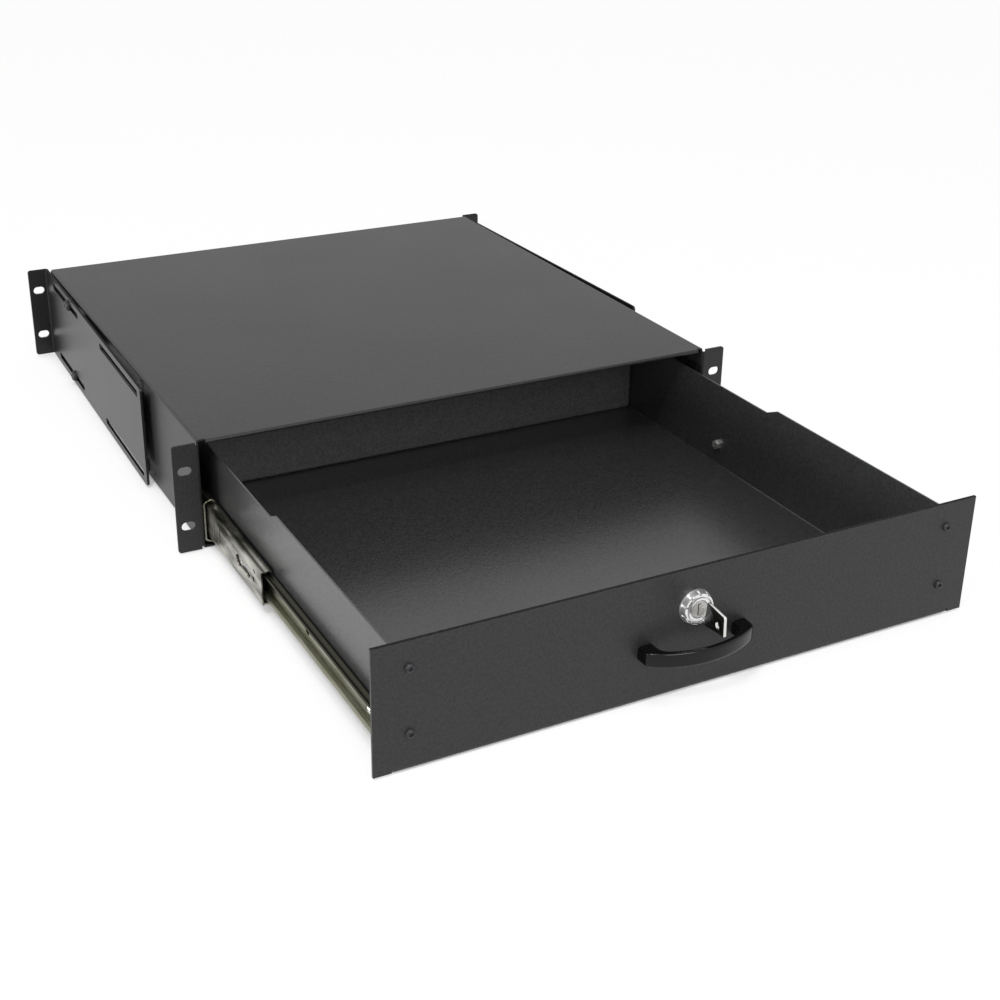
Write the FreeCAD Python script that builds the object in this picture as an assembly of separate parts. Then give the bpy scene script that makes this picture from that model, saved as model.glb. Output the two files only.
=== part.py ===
"""Sliding rack drawer.

A steel drawer two units high for a 19-inch rack, at real size in millimetres, pulled out as far
as the photograph shows it. X runs to the right, Y to the back and Z up. The origin is the middle
of the plane that the faces of the front ears share. Paired pieces are drawn on the right-hand side
and mirrored for the left.
"""

import math
import os

import FreeCAD, Part

# The rack: width over the ears and the screw slots in them
RACK_WIDTH = 482.6
SLOT_SPAN = 465.1
SLOT_PITCH = 44.45
SLOT_LENGTH = 10.3
SLOT_WIDTH = 7.1
EAR_HEIGHT = 86.4
EAR_CORNER = 2.5

# The case: one folded sheet, open below and in front
CASE_WIDTH = 443.4
CASE_HEIGHT = 88.1
CASE_DEPTH = 452.0
CASE_SHEET = 1.5
CASE_BEND = 1.0
CASE_LIP = 9.0
BEND_RELIEF = 0.5
HEM_DEPTH = 8.0
HEM_GAP = 0.3
HEM_INSET = 6.5
BACK_FLANGE = 12.0

# The slides: three rolled members, two ball cages
SLIDE_LENGTH = 400.0
SLIDE_THICKNESS = 12.7
SLIDE_HEIGHT = 35.3
SLIDE_Z = -21.8
SLIDE_FRONT = 0.5
MIDDLE_OUT = 115.0
INNER_OUT = 203.5
OUTER_GAUGE = 1.2
MIDDLE_GAUGE = 1.0
INNER_GAUGE = 1.2
CAGE_GAUGE = 0.5
CAGE_BEND = 0.9
BALL_RADIUS = 1.6
RACE_GAP = 0.3
POCKET_GAP = 0.15
CAGE_EDGE = 0.5
CAGE_LENGTH = 180.0
OUTER_CAGE_WEB = 2.2
INNER_CAGE_WEB = 4.85
BALLS_PER_ROW = 6

# The slide's section: how far the balls stand from the case's wall, how far the two pairs of rows
# stand apart, and each member's bends and lips, measured from the middles of its balls
OUTER_BALLS_AWAY = 6.0
INNER_BALLS_AWAY = 8.6
ROW_STEP = 4.2
OUTER_CORNER = 0.8
OUTER_WEB_DROP = 0.55
OUTER_LIP_REACH = 3.6
OUTER_LIP_RISE = 0.2
MIDDLE_CORNER = 0.3
MIDDLE_WEB_REACH = 1.8
MIDDLE_WEB_DROP = 2.85
MIDDLE_LIP_REACH = 2.32
MIDDLE_LIP_RISE = 1.18
INNER_WEB_DROP = 2.2
INNER_LIP_REACH = 2.5
INNER_LIP_DROP = 1.25

# Holes in the slides, as distances from each member's front end
OUTER_SCREWS = (150.0, 265.0, 380.0)
INNER_SCREWS = (35.7, 269.2)
INNER_PEEP = 140.0
WINDOW_PLACE = 38.0
WINDOW_LENGTH = 30.0
WINDOW_WIDTH = 6.0
LOBE_RADIUS = 4.6
LOBE_PLACES = (28.0, 47.0)
SLIT_LENGTH = 12.0
SLIT_WIDTH = 2.4
SLIT_PLACES = (89.0, 102.0)
STOP_HOLE = 2.0
STOP_PLACE = 16.0
RIVET_HOLE = 1.6
RIVET_PLACE = 14.0
RIVET_RISE = 7.0

# The drawer: tray, back wall and front panel
TRAY_SHEET = 1.2
TRAY_BEND = 1.0
TRAY_FLOOR = -40.1
TRAY_LENGTH = 416.7
WALL_FRONT_TOP = 35.2
WALL_REAR_TOP = 29.5
STEP_START = 196.7
STEP_RUN = 13.0
FRONT_FLANGE = 16.0
FLOOR_FLANGE = 12.0
BACK_WALL_INSET = 10.5
PANEL_WIDTH = 448.8
PANEL_HEIGHT = 88.1
PANEL_RISE = 0.4
PANEL_SHEET = 2.0
PANEL_LIP = 10.0
PANEL_LIP_WIDTH = 423.0
PANEL_END_RISE = 1.0
CLOSED_GAP = 0.2

# Screws and their fits
FIT = 0.1
M4 = 2.0
M5 = 2.4
PANEL_SCREW_X = 200.6
PANEL_SCREW_RISE = 4.0
BUTTON_HEAD = 3.2
BUTTON_HEIGHT = 2.2
NUT_FLATS = 7.0
NUT_HEIGHT = 3.0
PAN_HEAD = 3.8
PAN_HEIGHT = 2.2
FLAT_HEAD = 3.7
DOME = 1.25
HEX_KEY = 2.5
BIG_HEX_KEY = 3.0
BIG_HEAD = 4.5
BIG_HEIGHT = 2.5

# The lock; it and the pull handle sit a little left of the panel's middle
PULL_X = -4.0
LOCK_Z = 16.8
COLLAR_RADIUS = 11.9
COLLAR_FACE = 10.4
COLLAR_HEIGHT = 5.5
COLLAR_GROOVE = 1.2
BARREL_RADIUS = 9.0
BARREL_FLATS = 15.6
BARREL_LENGTH = 26.7
PLUG_RADIUS = 6.0
PLUG_GAP = 0.3
PLUG_RECESS = 0.5
LOCK_NUT_FLATS = 23.0
LOCK_NUT_HEIGHT = 4.0
RIM_NOTCHES = 10
NOTCH_WIDTH = 1.2
NOTCH_DEPTH = 0.7
NOTCH_SHARE = 0.7
CAM_GAP = 0.6
CAM_SHEET = 2.0
CAM_WIDTH = 12.0
CAM_LENGTH = 23.5
KEY_THICKNESS = 2.0
KEY_GAP = 0.2
KEY_HEIGHT = 7.6
KEY_REACH = 20.0
KEY_STAND = 6.5
KEY_BOW_DEPTH = 21.0
KEY_BOW_LOW = 7.5
KEY_BOW_HIGH = 10.2
KEY_BOW_SLANT = 2.0
KEY_BOW_CORNER = 1.8
KEY_RING_HOLE = 1.9
KEY_RING_DEPTH = 14.0
KEY_RING_DROP = 0.5
STRIKE_WIDTH = 30.0
STRIKE_DEPTH = 12.0
STRIKE_DROP = 11.5
STRIKE_SHEET = 1.5

# The pull handle
HANDLE_WIDTH = 82.0
HANDLE_REACH = 22.0
HANDLE_END = 9.8
HANDLE_FOOT = 11.0
HANDLE_BAR = 4.2
HANDLE_HEIGHT = 10.3
HANDLE_Z = -7.15
HANDLE_ROUND = 1.5
HANDLE_CORNER = 1.2
HANDLE_HOLLOW = 6.5

# The adjustable rear brackets
BRACKET_SHEET = 2.0
BRACKET_BEND = 1.0
BRACKET_HEIGHT = 85.0
BRACKET_GAP = 0.6
BRACKET_SPLAY = math.radians(0.9)
REAR_PLANE = 463.0
BRACKET_FRONT = 122.0
BRACKET_ROW = 34.5
BRACKET_CORNER = 3.0
LONG_SLOT_WIDTH = 5.6
REAR_SLOT = (333.0, 432.0)
FRONT_SLOT = (130.0, 253.0)
REAR_INSERT_Y = 369.0
FRONT_INSERT_Y = 146.0
INSERT_FLANGE = 5.2
INSERT_SPIGOT = 3.6
INSERT_SEAT = 0.15
WASHER_RADIUS = 5.2
WASHER_HEIGHT = 1.0

# Values that follow from the ones above
TINY = 1e-6
CASE_HALF = CASE_WIDTH / 2
CASE_TOP = CASE_HEIGHT / 2
CASE_INNER = CASE_HALF - CASE_SHEET
CASE_FRONT = CASE_SHEET + CASE_BEND + BEND_RELIEF
TRAY_HALF = CASE_INNER - SLIDE_THICKNESS
DRAWER_OUT = MIDDLE_OUT + INNER_OUT
PANEL_BACK = -DRAWER_OUT - CLOSED_GAP
PANEL_FRONT = PANEL_BACK - PANEL_SHEET
PANEL_BOTTOM = PANEL_RISE - PANEL_HEIGHT / 2
TRAY_REAR = PANEL_BACK + TRAY_LENGTH
MIDDLE_FRONT = SLIDE_FRONT - MIDDLE_OUT
INNER_FRONT = SLIDE_FRONT - DRAWER_OUT
RACE_RADIUS = BALL_RADIUS + RACE_GAP
CAM_FRONT = BARREL_LENGTH + CAM_GAP
STRIKE_BACK = CAM_FRONT - CLOSED_GAP - CAM_GAP
HANDLE_SCREW_X = (HANDLE_WIDTH - HANDLE_FOOT) / 2
CORNER_X = CASE_HALF + BRACKET_GAP

# Heights of the rows of balls over the slide's middle
OUTER_ROWS = SLIDE_HEIGHT / 2 - OUTER_GAUGE - RACE_RADIUS
INNER_ROWS = OUTER_ROWS - ROW_STEP


def vec(x, y, z):
    return FreeCAD.Vector(x, y, z)


ALONG_X = vec(1, 0, 0)
ALONG_Y = vec(0, 1, 0)
ALONG_Z = vec(0, 0, 1)


def at_y(y):
    """Plane of a cross section seen from the front: sideways and up."""
    return lambda side, up: vec(side, y, up)


def at_z(z):
    """Plane of a section seen from above: sideways and back."""
    return lambda side, back: vec(side, back, z)


def at_x(x):
    """Plane of a section seen from the side: back and up."""
    return lambda back, up: vec(x, back, up)


def in_slide(y):
    """Plane of the right-hand slide's section: away from the case's wall and up."""
    return lambda away, up: vec(CASE_INNER - away, y, SLIDE_Z + up)


def block(x_range, y_range, z_range):
    spans = (x_range, y_range, z_range)
    sizes = [max(span) - min(span) for span in spans]
    return Part.makeBox(*sizes, vec(*[min(span) for span in spans]))


def rod(radius, start, along):
    """Round bar from a point, as long as the vector."""
    return Part.makeCylinder(radius, along.Length, start, along)


def taper(first, last, start, along):
    """Round bar whose radius changes evenly along the vector."""
    return Part.makeCone(first, last, along.Length, start, along)


def prism(corners, place, along):
    """Straight-sided solid over a closed row of corners."""
    points = [place(*corner) for corner in corners]
    return Part.Face(Part.makePolygon(points + points[:1])).extrude(along)


def hexagon(flats, start, along):
    """Six-sided bar with its corners turned up and down."""
    side = along.cross(ALONG_Z)
    side.normalize()
    reach = flats / math.sqrt(3)
    points = []
    for corner in range(6):
        angle = math.radians(60 * corner)
        points.append(start + side * (reach * math.sin(angle)) + ALONG_Z * (reach * math.cos(angle)))
    return Part.Face(Part.makePolygon(points + points[:1])).extrude(along)


def slot(middle, lengthwise, through, length, width):
    """Long hole with round ends, cut from its middle along the vector."""
    across = lengthwise.cross(through)
    across.normalize()
    reach = lengthwise * ((length - width) / 2)
    round_end = lengthwise * (length / 2)
    edge = across * (width / 2)
    edges = [
        Part.makeLine(middle + reach + edge, middle - reach + edge),
        Part.Arc(middle - reach + edge, middle - round_end, middle - reach - edge).toShape(),
        Part.makeLine(middle - reach - edge, middle + reach - edge),
        Part.Arc(middle + reach - edge, middle + round_end, middle + reach + edge).toShape(),
    ]
    return Part.Face(Part.Wire(edges)).extrude(through)


def joined(*shapes):
    return shapes[0].multiFuse(list(shapes[1:])).removeSplitter()


def drilled(shape, cutters):
    return shape.cut(Part.makeCompound(list(cutters)))


def mirrored(shape):
    """The same piece on the other side."""
    return shape.mirror(vec(0, 0, 0), ALONG_X)


def round_edges(shape, radius, wanted):
    """Round the edges whose middle point and length satisfy a test."""
    edges = []
    for edge in shape.Edges:
        middle = edge.valueAt((edge.FirstParameter + edge.LastParameter) / 2)
        if wanted(middle, edge.Length):
            edges.append(edge)
    return shape.makeFillet(radius, edges)


def heading(start, end):
    return math.atan2(end[1] - start[1], end[0] - start[0])


def turn_between(first, second):
    return (second - first + math.pi) % (2 * math.pi) - math.pi


def beside(point, direction, distance):
    """Point at a distance to the left of a direction."""
    return (point[0] - math.sin(direction) * distance, point[1] + math.cos(direction) * distance)


def fold_bends(points, sheet, bend):
    """Bends of a sheet that lies to the left of a row of corners.

    Each bend is its centre, the path's radius (positive to the left), the direction before it and
    its turn. The inside of every bend has the same radius."""
    bends = [(points[0], 0.0, heading(points[0], points[1]), 0.0)]
    for before, corner, after in zip(points, points[1:], points[2:]):
        first = heading(before, corner)
        turn = turn_between(first, heading(corner, after))
        radius = bend + sheet if turn > 0 else -bend
        reach = abs(radius) * math.tan(abs(turn) / 2)
        start = (corner[0] - math.cos(first) * reach, corner[1] - math.sin(first) * reach)
        bends.append((beside(start, first, radius), radius, first, turn))
    bends.append((points[-1], 0.0, heading(points[-2], points[-1]), 0.0))
    return bends


def roll_bends(rollers):
    """Bends of a strip whose middle is drawn tight round rollers.

    Each roller is its centre and radius, positive where the strip turns left; the strip's ends are
    rollers of no radius."""
    directions = []
    for (first, near), (second, far) in zip(rollers, rollers[1:]):
        lean = math.asin((far - near) / math.dist(first, second))
        directions.append(heading(first, second) - lean)
    bends = [(rollers[0][0], 0.0, directions[0], 0.0)]
    for (centre, radius), before, after in zip(rollers[1:-1], directions, directions[1:]):
        bends.append((centre, radius, before, turn_between(before, after)))
    bends.append((rollers[-1][0], 0.0, directions[-1], 0.0))
    return bends


def sheet_side(bends, offset, place):
    """Edges of one face of a bent sheet, with the two ends of the row."""
    edges = []
    ends = []
    for centre, radius, direction, turn in bends:
        arc = [beside(centre, direction + turn * share, offset - radius) for share in (0.0, 0.5, 1.0)]
        start, middle, end = [place(*point) for point in arc]
        if ends and (start - ends[-1]).Length > TINY:
            edges.append(Part.makeLine(ends[-1], start))
        if (end - start).Length > TINY:
            edges.append(Part.Arc(start, middle, end).toShape())
        ends.append(end)
    return edges, ends[0], ends[-1]


def bent_sheet(bends, right, left, place, along):
    """Solid sheet between two offsets from a bent path, as long as the vector."""
    first, first_start, first_end = sheet_side(bends, right, place)
    second, second_start, second_end = sheet_side(bends, left, place)
    cap = Part.makeLine(first_end, second_end)
    foot = Part.makeLine(second_start, first_start)
    wire = Part.Wire(first + [cap] + second[::-1] + [foot])
    return Part.Face(wire).extrude(along)


def folded(points, sheet, bend, place, along):
    """Folded sheet that lies to the left of a row of corners."""
    return bent_sheet(fold_bends(points, sheet, bend), 0.0, sheet, place, along)


def rolled(upper, gauge, y, length):
    """Slide member or cage: the rollers of its upper half, mirrored for the lower half."""
    lower = [((centre[0], -centre[1]), radius) for centre, radius in reversed(upper)]
    bends = roll_bends(upper + lower)
    return bent_sheet(bends, -gauge / 2, gauge / 2, in_slide(y), ALONG_Y * length)


def ear_slots(y, thickness):
    """Cutters for the two rack slots of the right-hand ear."""
    cutters = []
    for rise in (-SLOT_PITCH / 2, SLOT_PITCH / 2):
        start = vec(SLOT_SPAN / 2, y - thickness, rise)
        cutters.append(slot(start, ALONG_X, ALONG_Y * (3 * thickness), SLOT_LENGTH, SLOT_WIDTH))
    return cutters


def case_ear():
    """Right-hand ear, bent outwards from the case's side, with reliefs beside the bend."""
    path = [(CASE_INNER, CASE_FRONT), (CASE_INNER, 0.0), (RACK_WIDTH / 2, 0.0)]
    half = EAR_HEIGHT / 2
    ear = folded(path, CASE_SHEET, CASE_BEND, at_z(-half), ALONG_Z * EAR_HEIGHT)
    bend_end = CASE_HALF + CASE_BEND + BEND_RELIEF
    relief_start = CASE_TOP - CASE_SHEET - CASE_BEND - BEND_RELIEF
    reliefs = []
    for side in (-1, 1):
        z_range = (side * relief_start, side * (half + CASE_SHEET))
        reliefs.append(block((CASE_INNER - BEND_RELIEF, bend_end), (-BEND_RELIEF, CASE_FRONT), z_range))
    ear = drilled(ear, reliefs + ear_slots(0.0, CASE_SHEET))
    return round_ear(ear)


def round_ear(ear):
    """Round the two outer corners of an ear."""
    def at_corner(middle, length):
        outside = abs(middle.x - RACK_WIDTH / 2) < TINY
        return outside and abs(middle.z) > SLOT_PITCH / 2 + SLOT_WIDTH and length < EAR_CORNER
    return round_edges(ear, EAR_CORNER, at_corner)


def wall_screw(y, clearance):
    """Flat-headed screw from inside the slide into the case's wall."""
    seat = CASE_INNER - OUTER_GAUGE
    depth = FLAT_HEAD - M4
    head = taper(FLAT_HEAD + clearance, M4 + clearance, vec(seat, y, SLIDE_Z), ALONG_X * depth)
    shank = rod(M4 + clearance, vec(seat, y, SLIDE_Z), ALONG_X * (OUTER_GAUGE + CASE_SHEET))
    return head.fuse(shank)


def wall_screws():
    """The screws that hold the right-hand slide to the case, with cross recesses."""
    screws = []
    for station in OUTER_SCREWS:
        y = SLIDE_FRONT + station
        screws.append(drilled(wall_screw(y, 0.0), cross_recess(vec(CASE_INNER - OUTER_GAUGE, y, SLIDE_Z))))
    return Part.makeCompound(screws)


def cross_recess(face):
    """Cross-shaped recess cut into a screw head whose face looks towards the drawer."""
    arm = M4
    blade = M4 / 4
    flat = block((face.x - 1, face.x + 1), (face.y - arm, face.y + arm), (face.z - blade, face.z + blade))
    tall = block((face.x - 1, face.x + 1), (face.y - blade, face.y + blade), (face.z - arm, face.z + arm))
    return [flat.fuse(tall)]


def insert_spots():
    """Where the clinched spacers for the rear brackets sit on the right-hand side."""
    return [(y, z) for y in (FRONT_INSERT_Y, REAR_INSERT_Y) for z in (-BRACKET_ROW, BRACKET_ROW)]


def case_shell():
    """Top, sides, bottom lips and ears in one folded sheet, with a hem along the top's front edge."""
    lip = CASE_HALF - CASE_LIP
    path = [(lip, -CASE_TOP), (CASE_HALF, -CASE_TOP), (CASE_HALF, CASE_TOP)]
    path += [(-CASE_HALF, CASE_TOP), (-CASE_HALF, -CASE_TOP), (-lip, -CASE_TOP)]
    length = ALONG_Y * (CASE_DEPTH - CASE_FRONT)
    body = folded(path, CASE_SHEET, CASE_BEND, at_y(CASE_FRONT), length)
    leaf = CASE_TOP - 2 * CASE_SHEET - HEM_GAP
    hem_path = [(CASE_FRONT, CASE_TOP), (0.0, CASE_TOP), (0.0, leaf), (HEM_DEPTH, leaf)]
    hem_half = CASE_HALF - HEM_INSET
    hem = folded(hem_path, CASE_SHEET, HEM_GAP / 2, at_x(-hem_half), ALONG_X * (2 * hem_half))
    ear = case_ear()
    shell = joined(body, hem, ear, mirrored(ear))
    holes = []
    for y, z in insert_spots():
        holes.append(rod(INSERT_SPIGOT + FIT / 2, vec(CASE_INNER - 1, y, z), ALONG_X * (CASE_SHEET + 2)))
    for station in OUTER_SCREWS:
        holes.append(wall_screw(SLIDE_FRONT + station, FIT))
    return drilled(shell, holes + [mirrored(hole) for hole in holes])


def case_back():
    """Back plate with flanges that run forward along the sides and the top."""
    front = CASE_DEPTH - BACK_FLANGE
    path = [(CASE_INNER, front), (CASE_INNER, CASE_DEPTH), (-CASE_INNER, CASE_DEPTH), (-CASE_INNER, front)]
    top = CASE_TOP - CASE_SHEET
    corner = CASE_SHEET + CASE_BEND
    height = 2 * top - CASE_BEND - corner
    plate = folded(path, CASE_SHEET, CASE_BEND, at_z(CASE_BEND - top), ALONG_Z * height)
    half = CASE_INNER - corner - BEND_RELIEF
    top_path = [(CASE_DEPTH, top - 2 * corner), (CASE_DEPTH, top), (front, top)]
    flange = folded(top_path, CASE_SHEET, CASE_BEND, at_x(-half), ALONG_X * (2 * half))
    return joined(plate, flange)


def lock_strike():
    """Tab under the top that the lock's cam turns up behind."""
    top = CASE_TOP - CASE_SHEET
    back = STRIKE_BACK
    path = [(back, top - STRIKE_DROP), (back, top), (back - STRIKE_DEPTH, top)]
    half = STRIKE_WIDTH / 2
    tab = folded(path, STRIKE_SHEET, CASE_BEND, at_x(PULL_X - half), ALONG_X * STRIKE_WIDTH)
    return tab


def outer_member():
    """Slide member on the case: a wide channel whose rolled lips hold the outer balls."""
    race = RACE_RADIUS + OUTER_GAUGE / 2
    corner = OUTER_CORNER + OUTER_GAUGE / 2
    lip = (OUTER_BALLS_AWAY + OUTER_LIP_REACH, OUTER_ROWS + OUTER_LIP_RISE)
    web = (OUTER_GAUGE / 2 + corner, OUTER_ROWS - OUTER_WEB_DROP)
    upper = [(lip, 0.0), ((OUTER_BALLS_AWAY, OUTER_ROWS), race), (web, corner)]
    member = rolled(upper, OUTER_GAUGE, SLIDE_FRONT, SLIDE_LENGTH)
    return drilled(member, [wall_screw(SLIDE_FRONT + station, FIT) for station in OUTER_SCREWS])


def middle_member():
    """Middle slide member: grooved outside for the outer balls and inside for the inner balls."""
    race = RACE_RADIUS + MIDDLE_GAUGE / 2
    corner = MIDDLE_CORNER + MIDDLE_GAUGE / 2
    lip = (INNER_BALLS_AWAY + MIDDLE_LIP_REACH, INNER_ROWS + MIDDLE_LIP_RISE)
    web = (OUTER_BALLS_AWAY - MIDDLE_WEB_REACH, OUTER_ROWS - MIDDLE_WEB_DROP)
    upper = [(lip, 0.0), ((INNER_BALLS_AWAY, INNER_ROWS), race)]
    upper += [((OUTER_BALLS_AWAY, OUTER_ROWS), -race), (web, corner)]
    member = rolled(upper, MIDDLE_GAUGE, MIDDLE_FRONT, SLIDE_LENGTH)
    return drilled(member, middle_openings())


def middle_openings():
    """Openings in the middle member's web: a keyhole-like window, slits and holes near the front."""
    start = CASE_INNER - OUTER_BALLS_AWAY
    through = ALONG_X * OUTER_BALLS_AWAY

    def spot(place, rise=0.0):
        return vec(start, MIDDLE_FRONT + place, SLIDE_Z + rise)
    window = slot(spot(WINDOW_PLACE), ALONG_Y, through, WINDOW_LENGTH, WINDOW_WIDTH)
    lobes = [rod(LOBE_RADIUS, spot(place), through) for place in LOBE_PLACES]
    holes = [rod(STOP_HOLE, spot(STOP_PLACE), through)]
    holes.append(rod(RIVET_HOLE, spot(RIVET_PLACE, RIVET_RISE), through))
    slits = [slot(spot(place), ALONG_Z, through, SLIT_LENGTH, SLIT_WIDTH) for place in SLIT_PLACES]
    return [window] + lobes + holes + slits


def inner_screw_spots():
    return [INNER_FRONT + station for station in INNER_SCREWS]


def inner_member():
    """Slide member on the drawer: a narrow channel open to the outside, grooved for the inner balls."""
    race = RACE_RADIUS + INNER_GAUGE / 2
    corner = MIDDLE_CORNER + INNER_GAUGE / 2
    lip = (INNER_BALLS_AWAY - INNER_LIP_REACH, INNER_ROWS - INNER_LIP_DROP)
    web = (SLIDE_THICKNESS - INNER_GAUGE / 2 - corner, INNER_ROWS - INNER_WEB_DROP)
    upper = [(lip, 0.0), ((INNER_BALLS_AWAY, INNER_ROWS), race), (web, -corner)]
    member = rolled(upper, INNER_GAUGE, INNER_FRONT, SLIDE_LENGTH)
    start = CASE_INNER - SLIDE_THICKNESS
    through = ALONG_X * (3 * INNER_GAUGE)
    holes = [rod(M4 + FIT, vec(start - 1, y, SLIDE_Z), through) for y in inner_screw_spots()]
    holes.append(rod(2 * M4, vec(start - 1, INNER_FRONT + INNER_PEEP, SLIDE_Z), through))
    return drilled(member, holes)


def ball_cage(away, rows, front, web):
    """Cage for two rows of balls: where the balls run, the cage's front end and its web."""
    half = CAGE_GAUGE / 2
    bend = half + CAGE_BEND
    edge = away + BALL_RADIUS + POCKET_GAP + CAGE_EDGE
    upper = [((edge, rows), 0.0), ((web + bend, rows - bend), bend)]
    cage = rolled(upper, CAGE_GAUGE, front, CAGE_LENGTH)
    pockets = []
    for centre in ball_spots(away, rows, front):
        start = centre - ALONG_Z * BALL_RADIUS
        pockets.append(rod(BALL_RADIUS + POCKET_GAP, start, ALONG_Z * (2 * BALL_RADIUS)))
    return drilled(cage, pockets)


def ball_spots(away, rows, front):
    """Centres of the balls of a cage."""
    pitch = CAGE_LENGTH / BALLS_PER_ROW
    spots = []
    for row in (-rows, rows):
        for number in range(BALLS_PER_ROW):
            y = front + pitch * (number + 0.5)
            spots.append(vec(CASE_INNER - away, y, SLIDE_Z + row))
    return spots


def balls(away, rows, front):
    return Part.makeCompound([Part.makeSphere(BALL_RADIUS, spot) for spot in ball_spots(away, rows, front)])


def outer_cage_front():
    """Front end of the outer cage, which goes half as far as the middle member."""
    return SLIDE_FRONT + (SLIDE_LENGTH - CAGE_LENGTH) / 2 - MIDDLE_OUT / 2


def inner_cage_front():
    """Front end of the inner cage, which goes half as far as the inner member does in the middle one."""
    return MIDDLE_FRONT + (SLIDE_LENGTH - CAGE_LENGTH) / 2 - INNER_OUT / 2


def pan_screw(radius, head, height, face, along, length):
    """Screw with a domed head: the head stands against the vector, the shank runs along it."""
    back = vec(0, 0, 0) - along
    top = Part.makeSphere(head * DOME, face + along * (head * DOME - height))
    button = rod(head, face, back * height).common(top)
    shank = rod(radius, face, along * length)
    return button.fuse(shank)


def inner_screws():
    """Screws through the inner member and the tray's wall, heads in the member's channel."""
    face = CASE_INNER - SLIDE_THICKNESS + INNER_GAUGE
    length = INNER_GAUGE + TRAY_SHEET + NUT_HEIGHT
    screws = []
    for y in inner_screw_spots():
        screw = pan_screw(M4, PAN_HEAD, PAN_HEIGHT, vec(face, y, SLIDE_Z), ALONG_X * -1, length)
        kerf = block((face + PAN_HEIGHT / 2, face + 2 * PAN_HEIGHT), (y - PAN_HEAD, y + PAN_HEAD),
                     (SLIDE_Z - M4 / 4, SLIDE_Z + M4 / 4))
        screws.append(screw.cut(kerf))
    return Part.makeCompound(screws)


def inner_nuts():
    """Nuts of those screws, inside the tray."""
    nuts = []
    for y in inner_screw_spots():
        start = vec(TRAY_HALF - TRAY_SHEET, y, SLIDE_Z)
        nut = hexagon(NUT_FLATS, start, ALONG_X * -NUT_HEIGHT)
        nuts.append(nut.cut(rod(M4 + FIT, start, ALONG_X * -NUT_HEIGHT)))
    return Part.makeCompound(nuts)


def drawer_tray():
    """Floor and side walls in one sheet; the walls step down and turn in behind the front panel."""
    start = PANEL_BACK + TRAY_SHEET + TRAY_BEND + BEND_RELIEF
    path = [(-TRAY_HALF, WALL_FRONT_TOP), (-TRAY_HALF, TRAY_FLOOR)]
    path += [(TRAY_HALF, TRAY_FLOOR), (TRAY_HALF, WALL_FRONT_TOP)]
    body = folded(path, TRAY_SHEET, TRAY_BEND, at_y(start), ALONG_Y * (TRAY_REAR - start))
    bend_height = TRAY_SHEET + TRAY_BEND + BEND_RELIEF
    side_path = [(-TRAY_HALF, start), (-TRAY_HALF, PANEL_BACK), (FRONT_FLANGE - TRAY_HALF, PANEL_BACK)]
    low = TRAY_FLOOR + bend_height
    flange = folded(side_path, TRAY_SHEET, TRAY_BEND, at_z(low), ALONG_Z * (WALL_FRONT_TOP - low))
    half = TRAY_HALF - FRONT_FLANGE - BEND_RELIEF
    floor_path = [(PANEL_BACK, TRAY_FLOOR + FLOOR_FLANGE), (PANEL_BACK, TRAY_FLOOR), (start, TRAY_FLOOR)]
    floor_flange = folded(floor_path, TRAY_SHEET, TRAY_BEND, at_x(-half), ALONG_X * (2 * half))
    tray = joined(body, flange, mirrored(flange), floor_flange)
    step = PANEL_BACK + STEP_START
    high = WALL_FRONT_TOP + 1
    notch = [(step, WALL_FRONT_TOP), (step + STEP_RUN, WALL_REAR_TOP), (TRAY_REAR + 1, WALL_REAR_TOP)]
    notch += [(TRAY_REAR + 1, high), (step, high)]
    cutters = [prism(notch, at_x(-TRAY_HALF - 1), ALONG_X * (2 * TRAY_HALF + 2))]
    for x, z in panel_screw_spots():
        cutters.append(rod(M4 + FIT, vec(x, PANEL_BACK - 1, z), ALONG_Y * (TRAY_SHEET + 2)))
    for y in inner_screw_spots():
        hole = rod(M4 + FIT, vec(TRAY_HALF - TRAY_SHEET - 1, y, SLIDE_Z), ALONG_X * (TRAY_SHEET + 2))
        cutters += [hole, mirrored(hole)]
    return drilled(tray, cutters)


def drawer_back():
    """Back wall of the tray, with flanges turned to the rear along the walls and the floor."""
    front = TRAY_REAR - BACK_WALL_INSET
    half = TRAY_HALF - TRAY_SHEET
    low = TRAY_FLOOR + TRAY_SHEET
    corner = TRAY_SHEET + TRAY_BEND
    path = [(-half, TRAY_REAR), (-half, front), (half, front), (half, TRAY_REAR)]
    plate = folded(path, TRAY_SHEET, TRAY_BEND, at_z(low + corner), ALONG_Z * (WALL_REAR_TOP - low - corner))
    floor_path = [(front, low + 2 * corner), (front, low), (TRAY_REAR, low)]
    inner = half - corner - BEND_RELIEF
    flange = folded(floor_path, TRAY_SHEET, TRAY_BEND, at_x(-inner), ALONG_X * (2 * inner))
    return joined(plate, flange)


def panel_screw_spots():
    """Middles of the four screws in the front panel."""
    rises = (PANEL_SCREW_RISE - SLOT_PITCH / 2, PANEL_SCREW_RISE + SLOT_PITCH / 2)
    return [(x, z) for x in (-PANEL_SCREW_X, PANEL_SCREW_X) for z in rises]


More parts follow.
